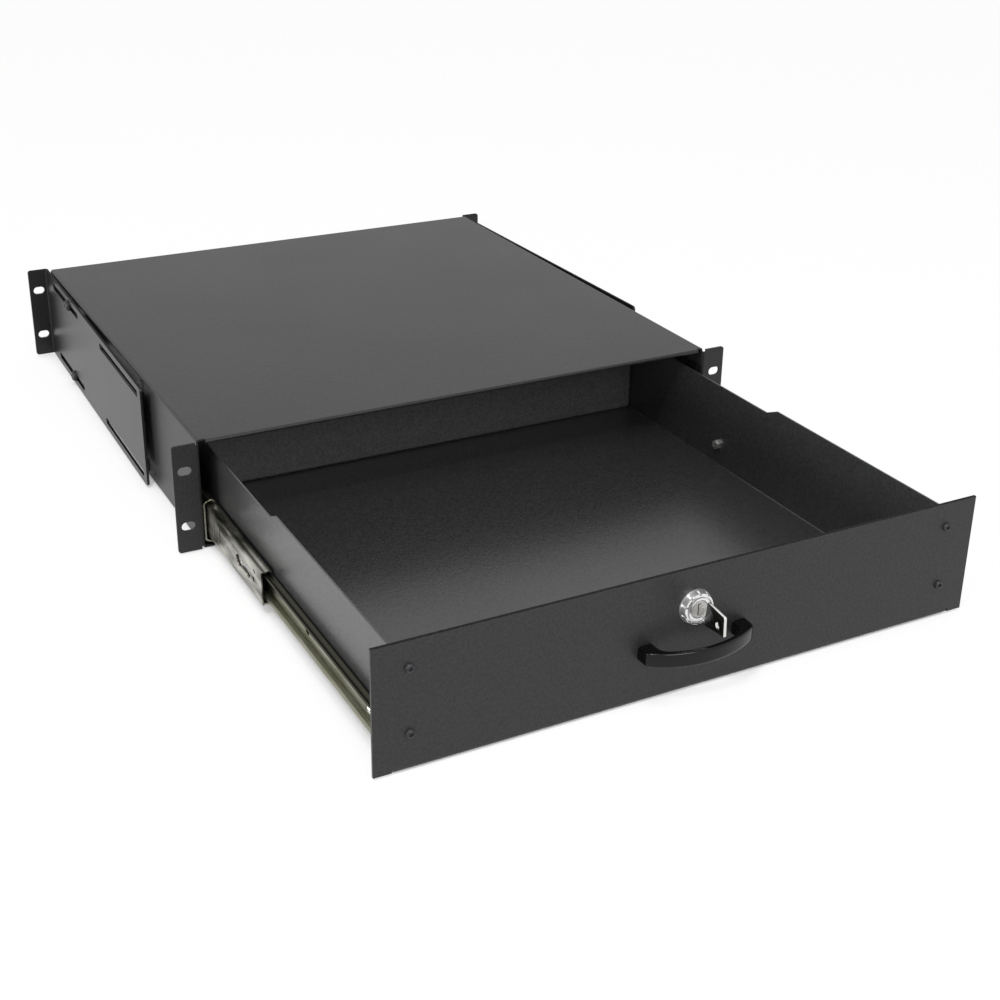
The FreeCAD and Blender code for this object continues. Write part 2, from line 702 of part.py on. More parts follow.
def front_panel():
    """Flat front with a lip folded back under its bottom edge."""
    half = PANEL_WIDTH / 2
    lip_half = PANEL_LIP_WIDTH / 2
    corner = PANEL_SHEET + TRAY_BEND
    z_range = (PANEL_BOTTOM + PANEL_END_RISE, PANEL_BOTTOM + PANEL_HEIGHT)
    plate = block((-half, half), (PANEL_FRONT, PANEL_BACK), z_range)
    above_lip = PANEL_BOTTOM + corner
    cut_range = (PANEL_FRONT - 1, PANEL_BACK + 1)
    under = block((-lip_half, lip_half), cut_range, (PANEL_BOTTOM, above_lip))
    path = [(PANEL_FRONT, above_lip), (PANEL_FRONT, PANEL_BOTTOM), (PANEL_FRONT + PANEL_LIP, PANEL_BOTTOM)]
    lip = folded(path, PANEL_SHEET, TRAY_BEND, at_x(-lip_half), ALONG_X * PANEL_LIP_WIDTH)
    panel = joined(plate.cut(under), lip)
    cutters = []
    for side in (-1, 1):
        edge = side * lip_half
        x_range = (edge, edge + side * PANEL_END_RISE)
        cutters.append(block(x_range, cut_range, (PANEL_BOTTOM, above_lip + BEND_RELIEF)))
        start = vec(PULL_X + side * HANDLE_SCREW_X, PANEL_FRONT - 1, HANDLE_Z)
        cutters.append(rod(M4 + FIT, start, ALONG_Y * (PANEL_SHEET + 2)))
    for x, z in panel_screw_spots():
        cutters.append(rod(M4 + FIT, vec(x, PANEL_FRONT - 1, z), ALONG_Y * (PANEL_SHEET + 2)))
    cutters.append(lock_barrel(FIT, PANEL_FRONT - 1, PANEL_BACK + 1))
    return drilled(panel, cutters)


def panel_screws():
    """Button-headed screws of the front panel, with hexagon sockets."""
    length = PANEL_SHEET + TRAY_SHEET + NUT_HEIGHT
    screws = []
    for x, z in panel_screw_spots():
        screw = pan_screw(M4, BUTTON_HEAD, BUTTON_HEIGHT, vec(x, PANEL_FRONT, z), ALONG_Y, length)
        start = vec(x, PANEL_FRONT - BUTTON_HEIGHT - 1, z)
        socket = hexagon(HEX_KEY, start, ALONG_Y * (1 + BUTTON_HEIGHT / 2))
        screws.append(screw.cut(socket))
    return Part.makeCompound(screws)


def panel_nuts():
    """Nuts of those screws, behind the tray's front flanges."""
    nuts = []
    for x, z in panel_screw_spots():
        start = vec(x, PANEL_BACK + TRAY_SHEET, z)
        nut = hexagon(NUT_FLATS, start, ALONG_Y * NUT_HEIGHT)
        nuts.append(nut.cut(rod(M4 + FIT, start, ALONG_Y * NUT_HEIGHT)))
    return Part.makeCompound(nuts)


def pull_handle():
    """Bow handle: a bar curved forward between two feet, hollowed behind, with rounded edges."""
    half = HANDLE_WIDTH / 2
    inside = half - HANDLE_FOOT
    rise = HANDLE_REACH - HANDLE_END
    radius = (half ** 2 + rise ** 2) / (2 * rise)
    centre = radius - HANDLE_REACH

    def place(x, y):
        return vec(PULL_X + x, PANEL_FRONT + y, HANDLE_Z - HANDLE_HEIGHT / 2)

    def edge(x, arc_radius):
        return place(x, centre - math.sqrt(arc_radius ** 2 - x ** 2))
    bar = radius - HANDLE_BAR
    front = Part.Arc(edge(-half, radius), edge(0, radius), edge(half, radius)).toShape()
    behind = Part.Arc(edge(-inside, bar), edge(0, bar), edge(inside, bar)).toShape()
    foot = [edge(half, radius), place(half, 0), place(inside, 0), edge(inside, bar)]
    other = [edge(-inside, bar), place(-inside, 0), place(-half, 0), edge(-half, radius)]
    outline = Part.Wire([front] + Part.makePolygon(foot).Edges + [behind] + Part.makePolygon(other).Edges)
    bow = Part.Face(outline).extrude(ALONG_Z * HANDLE_HEIGHT)

    def upright(middle, length):
        return middle.y < PANEL_FRONT - TINY and abs(middle.z - HANDLE_Z) < TINY

    def inner_corner(middle, length):
        return upright(middle, length) and abs(middle.x - PULL_X) < half - TINY

    def outer_corner(middle, length):
        return upright(middle, length) and abs(middle.x - PULL_X) > half - TINY

    def long_edge(middle, length):
        return middle.y < PANEL_FRONT - TINY and abs(middle.z - HANDLE_Z) > HANDLE_HEIGHT / 2 - TINY
    bow = round_edges(bow, HANDLE_HOLLOW, inner_corner)
    bow = round_edges(bow, HANDLE_CORNER, outer_corner)
    bow = round_edges(bow, HANDLE_ROUND, long_edge)
    holes = []
    for side in (-1, 1):
        start = vec(PULL_X + side * HANDLE_SCREW_X, PANEL_FRONT, HANDLE_Z)
        holes.append(rod(M4 + FIT, start, ALONG_Y * -(handle_screw_depth() + FIT)))
    return drilled(bow, holes)


def handle_screw_depth():
    """How far the handle's screws reach into its feet."""
    return HANDLE_END / 2


def handle_screws():
    """Pan-headed screws that hold the handle from behind the panel."""
    screws = []
    for side in (-1, 1):
        face = vec(PULL_X + side * HANDLE_SCREW_X, PANEL_BACK, HANDLE_Z)
        length = PANEL_SHEET + handle_screw_depth()
        screws.append(pan_screw(M4, PAN_HEAD, PAN_HEIGHT, face, ALONG_Y * -1, length))
    return Part.makeCompound(screws)


def lock_point(y):
    return vec(PULL_X, y, LOCK_Z)


def lock_barrel(clearance, start, end):
    """The lock's barrel, with a flat on either side."""
    flat = BARREL_FLATS / 2 + clearance
    barrel = rod(BARREL_RADIUS + clearance, lock_point(start), ALONG_Y * (end - start))
    reach = 2 * BARREL_RADIUS
    keep = block((PULL_X - flat, PULL_X + flat), (start, end), (LOCK_Z - reach, LOCK_Z + reach))
    return barrel.common(keep)


def lock_body():
    """Barrel and collar; the collar narrows forward, its rim is notched and its face grooved."""
    front = PANEL_FRONT - COLLAR_HEIGHT
    collar = taper(COLLAR_FACE, COLLAR_RADIUS, lock_point(front), ALONG_Y * COLLAR_HEIGHT)
    barrel = lock_barrel(0.0, PANEL_FRONT, PANEL_BACK + BARREL_LENGTH)
    body = joined(collar, barrel)
    bore = PLUG_RADIUS + PLUG_GAP
    before = lock_point(front - 1)
    length = BARREL_LENGTH + COLLAR_HEIGHT + PANEL_SHEET + 2
    cutters = [rod(bore, before, ALONG_Y * length)]
    depth = ALONG_Y * (1 + COLLAR_GROOVE / 2)
    groove = rod(COLLAR_FACE - 2 * COLLAR_GROOVE, before, depth)
    cutters.append(groove.cut(rod(bore + COLLAR_GROOVE / 2, before, depth)))
    reach = (PULL_X + COLLAR_FACE - NOTCH_DEPTH, PULL_X + 2 * COLLAR_RADIUS)
    back = front + COLLAR_HEIGHT * NOTCH_SHARE
    notch = block(reach, (front - 1, back), (LOCK_Z - NOTCH_WIDTH / 2, LOCK_Z + NOTCH_WIDTH / 2))
    for number in range(RIM_NOTCHES):
        cutter = notch.copy()
        cutter.rotate(lock_point(front), ALONG_Y, 360 * (number + 0.5) / RIM_NOTCHES)
        cutters.append(cutter)
    return drilled(body, cutters)


def lock_nut():
    """Hexagon nut that clamps the barrel behind the panel."""
    nut = hexagon(LOCK_NUT_FLATS, lock_point(PANEL_BACK), ALONG_Y * LOCK_NUT_HEIGHT)
    return nut.cut(rod(BARREL_RADIUS + FIT, lock_point(PANEL_BACK), ALONG_Y * LOCK_NUT_HEIGHT))


def lock_plug():
    """Turning plug with its keyway; the cam is screwed to its far end."""
    front = PANEL_FRONT - COLLAR_HEIGHT + PLUG_RECESS
    back = PANEL_BACK + CAM_FRONT
    plug = rod(PLUG_RADIUS, lock_point(front), ALONG_Y * (back - front))
    half_width = KEY_THICKNESS / 2 + KEY_GAP
    half_height = KEY_HEIGHT / 2 + KEY_GAP
    keyway = block((PULL_X - half_width, PULL_X + half_width), (front - 1, PANEL_FRONT + KEY_REACH + 1),
                   (LOCK_Z - half_height, LOCK_Z + half_height))
    dot = rod(KEY_THICKNESS / 4, vec(PULL_X + PLUG_RADIUS * 0.6, front - 1, LOCK_Z), ALONG_Y * 1.5)
    thread = rod(M4 + FIT, lock_point(back), ALONG_Y * -(KEY_HEIGHT - 2))
    return drilled(plug, [keyway, dot, thread])


def lock_cam():
    """Flat arm, level when unlocked; it turns up behind the strike."""
    start = PANEL_BACK + CAM_FRONT
    through = ALONG_Y * CAM_SHEET
    middle = vec(PULL_X - (CAM_LENGTH - CAM_WIDTH / 2) / 2, start, LOCK_Z)
    arm = slot(middle, ALONG_X, through, CAM_LENGTH + CAM_WIDTH / 2, CAM_WIDTH)
    return drilled(arm, [rod(M4 + FIT, lock_point(start), through)])


def cam_screw():
    """Screw that holds the cam on the plug."""
    face = lock_point(PANEL_BACK + CAM_FRONT + CAM_SHEET)
    return pan_screw(M4, PAN_HEAD, PAN_HEIGHT, face, ALONG_Y * -1, CAM_SHEET + KEY_HEIGHT - 3)


def key():
    """Flat key in the lock: a four-cornered bow with a ring hole, and a plain blade."""
    def from_panel(out, up):
        return vec(PULL_X - KEY_THICKNESS / 2, PANEL_FRONT - out, up)
    rear = COLLAR_HEIGHT + KEY_STAND
    far = rear + KEY_BOW_DEPTH
    high = LOCK_Z + KEY_BOW_HIGH
    low = LOCK_Z - KEY_BOW_LOW
    slant = KEY_BOW_SLANT
    corners = [(rear, low), (rear + slant, high), (far - slant / 3, high - slant), (far, low + slant)]
    bow = prism(corners, from_panel, ALONG_X * KEY_THICKNESS)

    def short_edge(middle, length):
        return abs(length - KEY_THICKNESS) < TINY
    bow = round_edges(bow, KEY_BOW_CORNER, short_edge)
    half = KEY_HEIGHT / 2
    blade = block((PULL_X - KEY_THICKNESS / 2, PULL_X + KEY_THICKNESS / 2),
                  (PANEL_FRONT - rear - 2 * slant, PANEL_FRONT + KEY_REACH), (LOCK_Z - half, LOCK_Z + half))
    start = from_panel(rear + KEY_RING_DEPTH, LOCK_Z - KEY_RING_DROP) - ALONG_X
    return drilled(joined(bow, blade), [rod(KEY_RING_HOLE, start, ALONG_X * (KEY_THICKNESS + 2))])


def bracket_place(forward, out, z):
    """Point on the right-hand bracket: forward from its corner, out from its inner face, and height."""
    lead = vec(math.sin(BRACKET_SPLAY), -math.cos(BRACKET_SPLAY), 0)
    side = vec(math.cos(BRACKET_SPLAY), math.sin(BRACKET_SPLAY), 0)
    return vec(CORNER_X, REAR_PLANE, z) + lead * forward + side * out


def bracket_directions():
    """Unit vectors forward along the bracket's plate and out of it."""
    origin = bracket_place(0, 0, 0)
    return bracket_place(1, 0, 0) - origin, bracket_place(0, 1, 0) - origin


def forward_of(y):
    """Distance along the bracket's plate from its corner to a depth in the case."""
    return (REAR_PLANE - y) / math.cos(BRACKET_SPLAY)


def rear_bracket():
    """Splayed plate with four long slots, its rear ear bent square to the rack."""
    half = BRACKET_HEIGHT / 2
    front = bracket_place(forward_of(BRACKET_FRONT), 0, 0)
    path = [(RACK_WIDTH / 2, REAR_PLANE), (CORNER_X, REAR_PLANE), (front.x, front.y)]
    bracket = folded(path, BRACKET_SHEET, BRACKET_BEND, at_z(-half), ALONG_Z * BRACKET_HEIGHT)
    lead, side = bracket_directions()
    cutters = ear_slots(REAR_PLANE, BRACKET_SHEET)
    for row in (-BRACKET_ROW, BRACKET_ROW):
        for near, far in (REAR_SLOT, FRONT_SLOT):
            middle = bracket_place(forward_of((near + far) / 2), -1, row)
            through = side * (BRACKET_SHEET + 2)
            cutters.append(slot(middle, lead, through, far - near, LONG_SLOT_WIDTH))
    bracket = drilled(bracket, cutters)

    def at_front(middle, length):
        return middle.y < BRACKET_FRONT + 1 and abs(middle.z) > half - TINY and length < BRACKET_SHEET + TINY
    return round_ear(round_edges(bracket, BRACKET_CORNER, at_front))


def seat_gap(y):
    """Distance between the case's wall and the bracket's inner face at a depth."""
    return bracket_place(forward_of(y), 0, 0).x - CASE_HALF


def bracket_inserts():
    """Clinched threaded spacers in the case's wall; only the rear ones carry the bracket."""
    inserts = []
    for y, z in insert_spots():
        flange = rod(INSERT_FLANGE, vec(CASE_HALF, y, z), ALONG_X * (seat_gap(REAR_INSERT_Y) - INSERT_SEAT))
        spigot = rod(INSERT_SPIGOT, vec(CASE_INNER, y, z), ALONG_X * CASE_SHEET)
        bore = rod(M5 + RACE_GAP, vec(CASE_INNER - 1, y, z), ALONG_X * (INSERT_FLANGE * 2))
        inserts.append(joined(flange, spigot).cut(bore))
    return Part.makeCompound(inserts)


def bracket_washers():
    """Washers between the bracket's plate and the screw heads."""
    side = bracket_directions()[1]
    washers = []
    for z in (-BRACKET_ROW, BRACKET_ROW):
        start = bracket_place(forward_of(REAR_INSERT_Y), BRACKET_SHEET, z)
        washer = rod(WASHER_RADIUS, start, side * WASHER_HEIGHT)
        washers.append(washer.cut(rod(M5 + FIT, start, side * WASHER_HEIGHT)))
    return Part.makeCompound(washers)


def bracket_screws():
    """Screws that clamp the bracket through its rear slots, with hexagon sockets."""
    side = bracket_directions()[1]
    screws = []
    for z in (-BRACKET_ROW, BRACKET_ROW):
        seat = BRACKET_SHEET + WASHER_HEIGHT
        face = bracket_place(forward_of(REAR_INSERT_Y), seat, z)
        length = seat + seat_gap(REAR_INSERT_Y) + CASE_SHEET - INSERT_SEAT
        screw = pan_screw(M5, BIG_HEAD, BIG_HEIGHT, face, side * -1, length)
        socket = hexagon(BIG_HEX_KEY, face + side * (BIG_HEIGHT / 2), side * BIG_HEIGHT)
        screws.append(screw.cut(socket))
    return Part.makeCompound(screws)


def single_pieces():
    """Pieces that there is one of, or one set of."""
    return {
        "case_shell": case_shell(),
        "case_back": case_back(),
        "lock_strike": lock_strike(),
        "drawer_tray": drawer_tray(),
        "drawer_back": drawer_back(),
        "front_panel": front_panel(),
        "panel_screws": panel_screws(),
        "panel_nuts": panel_nuts(),
        "pull_handle": pull_handle(),
        "handle_screws": handle_screws(),
        "lock_body": lock_body(),
        "lock_nut": lock_nut(),
        "lock_plug": lock_plug(),
        "lock_cam": lock_cam(),
        "cam_screw": cam_screw(),
        "key": key(),
    }


def paired_pieces():
    """Pieces of the right-hand side that the left-hand side has mirrored."""
    outer_rows = (OUTER_BALLS_AWAY, OUTER_ROWS, outer_cage_front())
    inner_rows = (INNER_BALLS_AWAY, INNER_ROWS, inner_cage_front())
    return {
        "slide_outer": outer_member(),
        "slide_outer_screws": wall_screws(),
        "slide_middle": middle_member(),
        "slide_inner": inner_member(),
        "slide_inner_screws": inner_screws(),
        "slide_inner_nuts": inner_nuts(),
        "ball_cage_outer": ball_cage(*outer_rows, OUTER_CAGE_WEB),
        "ball_cage_inner": ball_cage(*inner_rows, INNER_CAGE_WEB),
        "balls_outer": balls(*outer_rows),
        "balls_inner": balls(*inner_rows),
        "rear_bracket": rear_bracket(),
        "bracket_inserts": bracket_inserts(),
        "bracket_washers": bracket_washers(),
        "bracket_screws": bracket_screws(),
    }


def main():
    pieces = single_pieces()
    for name, shape in paired_pieces().items():
        pieces[name + "_right"] = shape
        pieces[name + "_left"] = mirrored(shape)
    os.makedirs("parts", exist_ok=True)
    for name, shape in pieces.items():
        shape.exportStep("parts/" + name + ".step")


main()
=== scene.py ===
"""Looks of the sliding rack drawer: its finishes, the pieces with curved surfaces, and the studio.

The file is laid out as an add-on: the sizes and colours are properties, every piece or group of
like pieces is one operator, and a panel lists the operators. Lengths are in metres. X runs to the
right, Y to the back and Z up, and the origin lies between the front ears, in their front plane.
"""

import math

import bpy
import numpy as np
from bpy.props import FloatProperty, FloatVectorProperty, IntProperty, PointerProperty
from bpy.types import Operator, Panel, PropertyGroup
from mathutils import Matrix, Vector


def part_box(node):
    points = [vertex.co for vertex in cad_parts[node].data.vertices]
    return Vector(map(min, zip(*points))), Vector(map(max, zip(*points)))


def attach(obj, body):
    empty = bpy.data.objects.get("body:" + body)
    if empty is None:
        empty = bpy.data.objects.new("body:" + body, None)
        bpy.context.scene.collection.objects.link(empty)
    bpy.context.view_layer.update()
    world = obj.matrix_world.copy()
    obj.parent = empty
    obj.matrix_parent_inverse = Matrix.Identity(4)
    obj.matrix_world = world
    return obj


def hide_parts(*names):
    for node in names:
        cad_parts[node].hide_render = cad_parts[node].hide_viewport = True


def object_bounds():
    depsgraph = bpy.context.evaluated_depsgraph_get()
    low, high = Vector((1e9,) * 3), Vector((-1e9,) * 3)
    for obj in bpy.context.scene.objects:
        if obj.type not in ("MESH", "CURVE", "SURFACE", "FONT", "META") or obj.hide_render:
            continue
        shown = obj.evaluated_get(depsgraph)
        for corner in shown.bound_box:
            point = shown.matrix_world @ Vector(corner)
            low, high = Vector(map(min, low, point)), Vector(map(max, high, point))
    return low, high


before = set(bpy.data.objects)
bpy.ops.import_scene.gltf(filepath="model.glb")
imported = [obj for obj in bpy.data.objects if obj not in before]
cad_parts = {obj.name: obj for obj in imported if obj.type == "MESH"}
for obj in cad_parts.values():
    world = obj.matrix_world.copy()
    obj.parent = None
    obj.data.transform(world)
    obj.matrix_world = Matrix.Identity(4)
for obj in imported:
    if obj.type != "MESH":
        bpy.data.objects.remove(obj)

bl_info = {
    "name": "Sliding rack drawer",
    "version": (1, 0, 0),
    "blender": (4, 5, 0),
    "location": "3D View > Sidebar > Drawer",
    "description": "Dresses the solids of a sliding rack drawer and sets a studio round it",
    "category": "Object",
}

CAD_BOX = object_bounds()
PANEL_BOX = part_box("front_panel")
HANDLE_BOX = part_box("pull_handle")
LOCK_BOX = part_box("lock_body")
KEY_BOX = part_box("key")
PLUG_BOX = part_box("lock_plug")
SCREW_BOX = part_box("panel_screws")
PANEL_FACE = PANEL_BOX[0].y
PULL_X = (PLUG_BOX[0].x + PLUG_BOX[1].x) / 2
LOCK_Z = (PLUG_BOX[0].z + PLUG_BOX[1].z) / 2
MM = 0.001
BUTTON_SMOOTH = 32.0


# Sizes and colours


def colour(name, description, default):
    """A colour that the user can change."""
    return FloatVectorProperty(name=name, description=description, default=default, size=3,
                               min=0.0, max=1.0, subtype="COLOR")


def length(name, description, default):
    """A length that the user can change."""
    return FloatProperty(name=name, description=description, default=default, unit="LENGTH",
                         precision=4)


def share(name, description, default):
    """A share from nothing to all that the user can change."""
    return FloatProperty(name=name, description=description, default=default, min=0.0, max=1.0,
                         subtype="FACTOR")


class DrawerPaint(PropertyGroup):
    """Powder coat on the sheet metal."""

    case: colour("Case", "Coat of the case", (0.013, 0.013, 0.0134))
    tray: colour("Tray", "Coat of the tray", (0.022, 0.022, 0.0223))
    back: colour("Back wall", "Coat of the tray's back wall", (0.036, 0.036, 0.037))
    panel: colour("Front panel", "Coat of the front panel", (0.012, 0.012, 0.0123))
    bracket: colour("Brackets", "Coat of the rear brackets", (0.006, 0.006, 0.0062))
    case_gleam: share("Case gleam", "Strength of the case's reflections", 0.31)
    tray_gleam: share("Tray gleam", "Strength of the tray's reflections", 0.62)
    back_gleam: share("Back gleam", "Strength of the back wall's reflections", 0.50)
    panel_gleam: share("Panel gleam", "Strength of the front panel's reflections", 0.38)
    bracket_gleam: share("Bracket gleam", "Strength of the brackets' reflections", 0.32)
    roughness: share("Roughness", "Roughness of the coat on case, back wall and panel", 0.40)
    tray_roughness: share("Tray roughness", "Roughness of the coat on the tray", 0.28)
    bracket_roughness: share("Bracket roughness", "Roughness of the coat on the brackets", 0.34)
    grain: length("Grain", "Width of the coat's fine grain", 0.0018)
    grain_height: length("Grain height", "Height of the coat's fine grain", 0.00013)
    ripple: length("Ripple", "Width of the slow waves in the sheet", 0.08)
    edge: length("Edge radius", "Rounding that the coat gives to sheared edges", 0.0003)


class DrawerMetal(PropertyGroup):
    """Bare and plated metal."""

    zinc: colour("Slide zinc", "Plating of the rolled slide members", (0.46, 0.45, 0.40))
    passivate: colour("Passivation", "Olive tint in the plating", (0.17, 0.17, 0.125))
    # The brow sets the height above which the inner members' rolled edge gets painted shade.
    brow: length("Brow", "Height of the dark rolled edge on the inner members", 0.0035)
    cage: colour("Cage steel", "Pressed steel of the ball cages", (0.52, 0.51, 0.50))
    ball: colour("Ball steel", "Polished bearing balls", (0.72, 0.72, 0.73))
    fastener: colour("Fastener zinc", "Plating of nuts and screws", (0.80, 0.80, 0.78))
    chrome: colour("Chrome", "Plating of the lock", (0.80, 0.80, 0.80))
    plug: colour("Plug", "Satin face of the lock's plug", (0.52, 0.52, 0.51))
    nickel: colour("Nickel", "Plating on the key's edges", (0.74, 0.73, 0.70))
    # Dark colour of the key's flats: painted shade, not a finish of the key.
    key_flat: colour("Key flats", "Darkened flat sides of the key", (0.10, 0.10, 0.098))
    black: colour("Blackened steel", "Finish of the visible screws", (0.030, 0.030, 0.032))


class DrawerHandle(PropertyGroup):
    """Bow handle."""

    width: length("Width", "Width over the feet", HANDLE_BOX[1].x - HANDLE_BOX[0].x)
    reach: length("Reach", "Distance from the panel to the middle of the bow",
                  PANEL_FACE - HANDLE_BOX[0].y)
    height: length("Height", "Height of the bar", HANDLE_BOX[1].z - HANDLE_BOX[0].z)
    end: length("End", "Depth of the straight faces at both ends", 0.0098)
    bar: length("Bar", "Thickness of the bar in the middle", 0.0042)
    foot: length("Foot", "Width of each foot on the panel", 0.011)
    square: FloatProperty(name="Squareness", default=5.0, min=2.0, max=20.0,
                          description="How square the section is: two is an ellipse")
    coat: colour("Lacquer", "Glossy lacquer of the handle", (0.0015, 0.0015, 0.0016))


class DrawerLock(PropertyGroup):
    """Cam lock: collar, barrel and its notched rim."""

    collar: length("Collar radius", "Radius of the collar on the panel",
                   (LOCK_BOX[1].x - LOCK_BOX[0].x) / 2)
    face: length("Face radius", "Radius of the collar's front ring", 0.0104)
    height: length("Collar height", "How far the collar stands in front of the panel",
                   PANEL_FACE - LOCK_BOX[0].y)
    groove: length("Groove radius", "Outer radius of the groove in the collar's face", 0.0090)
    lip: length("Lip radius", "Inner radius of that groove", 0.0081)
    bore: length("Bore radius", "Radius of the bore for the plug", 0.0063)
    barrel: length("Barrel radius", "Radius of the barrel behind the panel", 0.009)
    flat: length("Half width over flats", "Distance of the barrel's flats from its axis", 0.0078)
    notches: IntProperty(name="Notches", description="Notches round the collar", default=10,
                         min=0, max=40)
    notch_depth: length("Notch depth", "Depth of a notch below the face's radius", 0.0007)
    notch_level: share("Notch level", "Height of the wave above which a notch is cut", 0.80)
    notch_steep: FloatProperty(name="Notch steepness", description="Steepness of a notch's sides",
                               default=12.0, min=1.0)


class DrawerKey(PropertyGroup):
    """Flat key in the lock."""

    thickness: length("Thickness", "Thickness of the key", KEY_BOX[1].x - KEY_BOX[0].x)
    ring_hole: length("Ring hole", "Radius of the hole for a ring", 0.0019)
    ring_forward: length("Hole place", "Distance of the hole from the key's front edge", 0.007)
    ring_drop: length("Hole drop", "How far the hole lies below the lock's axis", 0.0005)
    stand: length("Stand", "Distance of the bow from the collar", 0.0065)
    slant: length("Slant", "How far the bow's sides lean", 0.0020)
    blade: length("Blade height", "Height of the blade", 0.0074)


class DrawerScrew(PropertyGroup):
    """Button-headed screws with a hexagon socket."""

    head: length("Head radius", "Radius of a panel screw's head", 0.0032)
    head_height: length("Head height", "Height of a panel screw's head", 0.0022)
    shank: length("Shank radius", "Radius of a panel screw's shank", 0.0020)
    socket: length("Socket", "Width over the flats of the socket", 0.0025)
    big_head: length("Large head radius", "Radius of a bracket screw's head", 0.0045)
    big_height: length("Large head height", "Height of a bracket screw's head", 0.0025)
    big_shank: length("Large shank radius", "Radius of a bracket screw's shank", 0.0024)
    big_socket: length("Large socket", "Width over the flats of its socket", 0.0030)
    washer: length("Washer", "Thickness of a bracket screw's washer", 0.0010)
    washer_radius: length("Washer radius", "Radius of a bracket screw's washer", 0.0052)
    splay: FloatProperty(name="Splay", description="Turn of the brackets out of the case's sides",
                         default=math.radians(0.9), subtype="ANGLE")


class DrawerStudio(PropertyGroup):
    """Floor, lamps and camera."""

    floor: colour("Floor", "Colour of the floor", (0.90, 0.90, 0.90))
    floor_glow: share("Floor white", "Share of plain white in what the camera sees of the floor", 0.90)
    crevice: length("Crevice", "Distance over which the floor darkens under a piece", 0.015)
    sky: share("Sky", "Strength of the white sky on dull surfaces", 0.75)
    main_power: FloatProperty(name="Main lamp", description="Power of the large soft lamp",
                              default=10.0, min=0.0, subtype="POWER")
    side_power: FloatProperty(name="Side lamp", description="Power of the soft lamp on the left",
                              default=29.0, min=0.0, subtype="POWER")
    front_power: FloatProperty(name="Front lamp", description="Power of the soft lamp in front",
                               default=22.5, min=0.0, subtype="POWER")
    glint_power: FloatProperty(name="Glint lamp", description="Power of the small lamp for glints",
                               default=9.0, min=0.0, subtype="POWER")
    camera: FloatVectorProperty(name="Camera", description="Place of the camera", size=3,
                                default=(-0.5173, -1.0208, 0.5064), subtype="TRANSLATION")
    yaw: FloatProperty(name="Turn", description="Turn of the view to the right",
                       default=math.radians(28.069), subtype="ANGLE")
    pitch: FloatProperty(name="Tilt", description="Downward tilt of the view",
                         default=math.radians(24.117), subtype="ANGLE")
    roll: FloatProperty(name="Roll", description="Roll of the view",
                        default=math.radians(-0.837), subtype="ANGLE")
    lens: FloatProperty(name="Lens", description="Focal length in millimetres on a 36 mm sensor",
                        default=56.58, min=1.0)
    shift: FloatProperty(name="Shift", description="Vertical shift of the lens", default=-0.05)


# Surfaces


def grid_faces(rows, columns, wrap_rows, wrap_columns):
    """Corner numbers of the four-sided faces of a grid of points, row after row.

    Corners (i, j), (i, j+1), (i+1, j+1), (i+1, j) make one face; a wrapped side closes on itself."""
    i = np.arange(rows if wrap_rows else rows - 1)[:, None]
    j = np.arange(columns if wrap_columns else columns - 1)[None, :]
    below = (i + 1) % rows
    beside = (j + 1) % columns
    corners = [i * columns + j, i * columns + beside, below * columns + beside, below * columns + j]
    return np.stack([np.broadcast_to(c, (i.size, j.size)).ravel() for c in corners], axis=1)


def closed_tube(points):
    """Points and faces of a tube whose rows are closed rings, with a fan over each end.

    points[i, j] is point j of ring i. The fans meet at the rings' means."""
    rows, columns, _ = points.shape
    verts = points.reshape(-1, 3)
    quads = grid_faces(rows, columns, False, True)
    j = np.arange(columns)
    first = np.full(columns, len(verts))
    last = first + 1
    start_fan = np.stack([first, (j + 1) % columns, j], axis=1)
    base = (rows - 1) * columns
    end_fan = np.stack([last, base + j, base + (j + 1) % columns], axis=1)
    verts = np.concatenate([verts, points[0].mean(0)[None], points[-1].mean(0)[None]])
    return verts, [quads, start_fan, end_fan]


def closed_ring(points):
    """Points and faces of a surface whose grid closes on itself both ways."""
    rows, columns, _ = points.shape
    return points.reshape(-1, 3), [grid_faces(rows, columns, True, True)]


def signed_volume(verts, groups):
    """Volume inside the faces: a third of the sum of each corner triangle's triple product."""
    total = 0.0
    for faces in groups:
        for corner in range(1, faces.shape[1] - 1):
            a, b, c = verts[faces[:, 0]], verts[faces[:, corner]], verts[faces[:, corner + 1]]
            total += np.einsum("ij,ij->i", a, np.cross(b, c)).sum() / 6
    return total


def add_piece(name, shells, material, smooth_angle):
    """Puts closed shells into one mesh object at the origin, each with its faces outward."""
    points, loops, starts, sizes = [], [], [], []
    count = 0
    filled = 0
    for verts, groups in shells:
        centre = verts.mean(0)
        inward = signed_volume(verts - centre, groups) < 0
        for faces in groups:
            turned = faces[:, ::-1] if inward else faces
            loops.append((turned + count).ravel())
            starts.append(filled + np.arange(len(faces)) * faces.shape[1])
            sizes.append(np.full(len(faces), faces.shape[1]))
            filled += faces.size
        points.append(verts)
        count += len(verts)
    mesh = bpy.data.meshes.new(name)
    mesh.vertices.add(count)
    mesh.vertices.foreach_set("co", np.concatenate(points).astype(np.float32).ravel())
    mesh.loops.add(filled)
    mesh.loops.foreach_set("vertex_index", np.concatenate(loops).astype(np.int32))
    starts = np.concatenate(starts).astype(np.int32)
    mesh.polygons.add(len(starts))
    mesh.polygons.foreach_set("loop_start", starts)
    mesh.polygons.foreach_set("loop_total", np.concatenate(sizes).astype(np.int32))
    mesh.update(calc_edges=True)
    if mesh.validate():
        raise RuntimeError(f"{name} has faulty faces")
    mesh.shade_smooth()
    mesh.set_sharp_from_angle(angle=math.radians(smooth_angle))
    mesh.materials.append(material)
    piece = bpy.data.objects.new(name, mesh)
    bpy.context.scene.collection.objects.link(piece)
    return piece


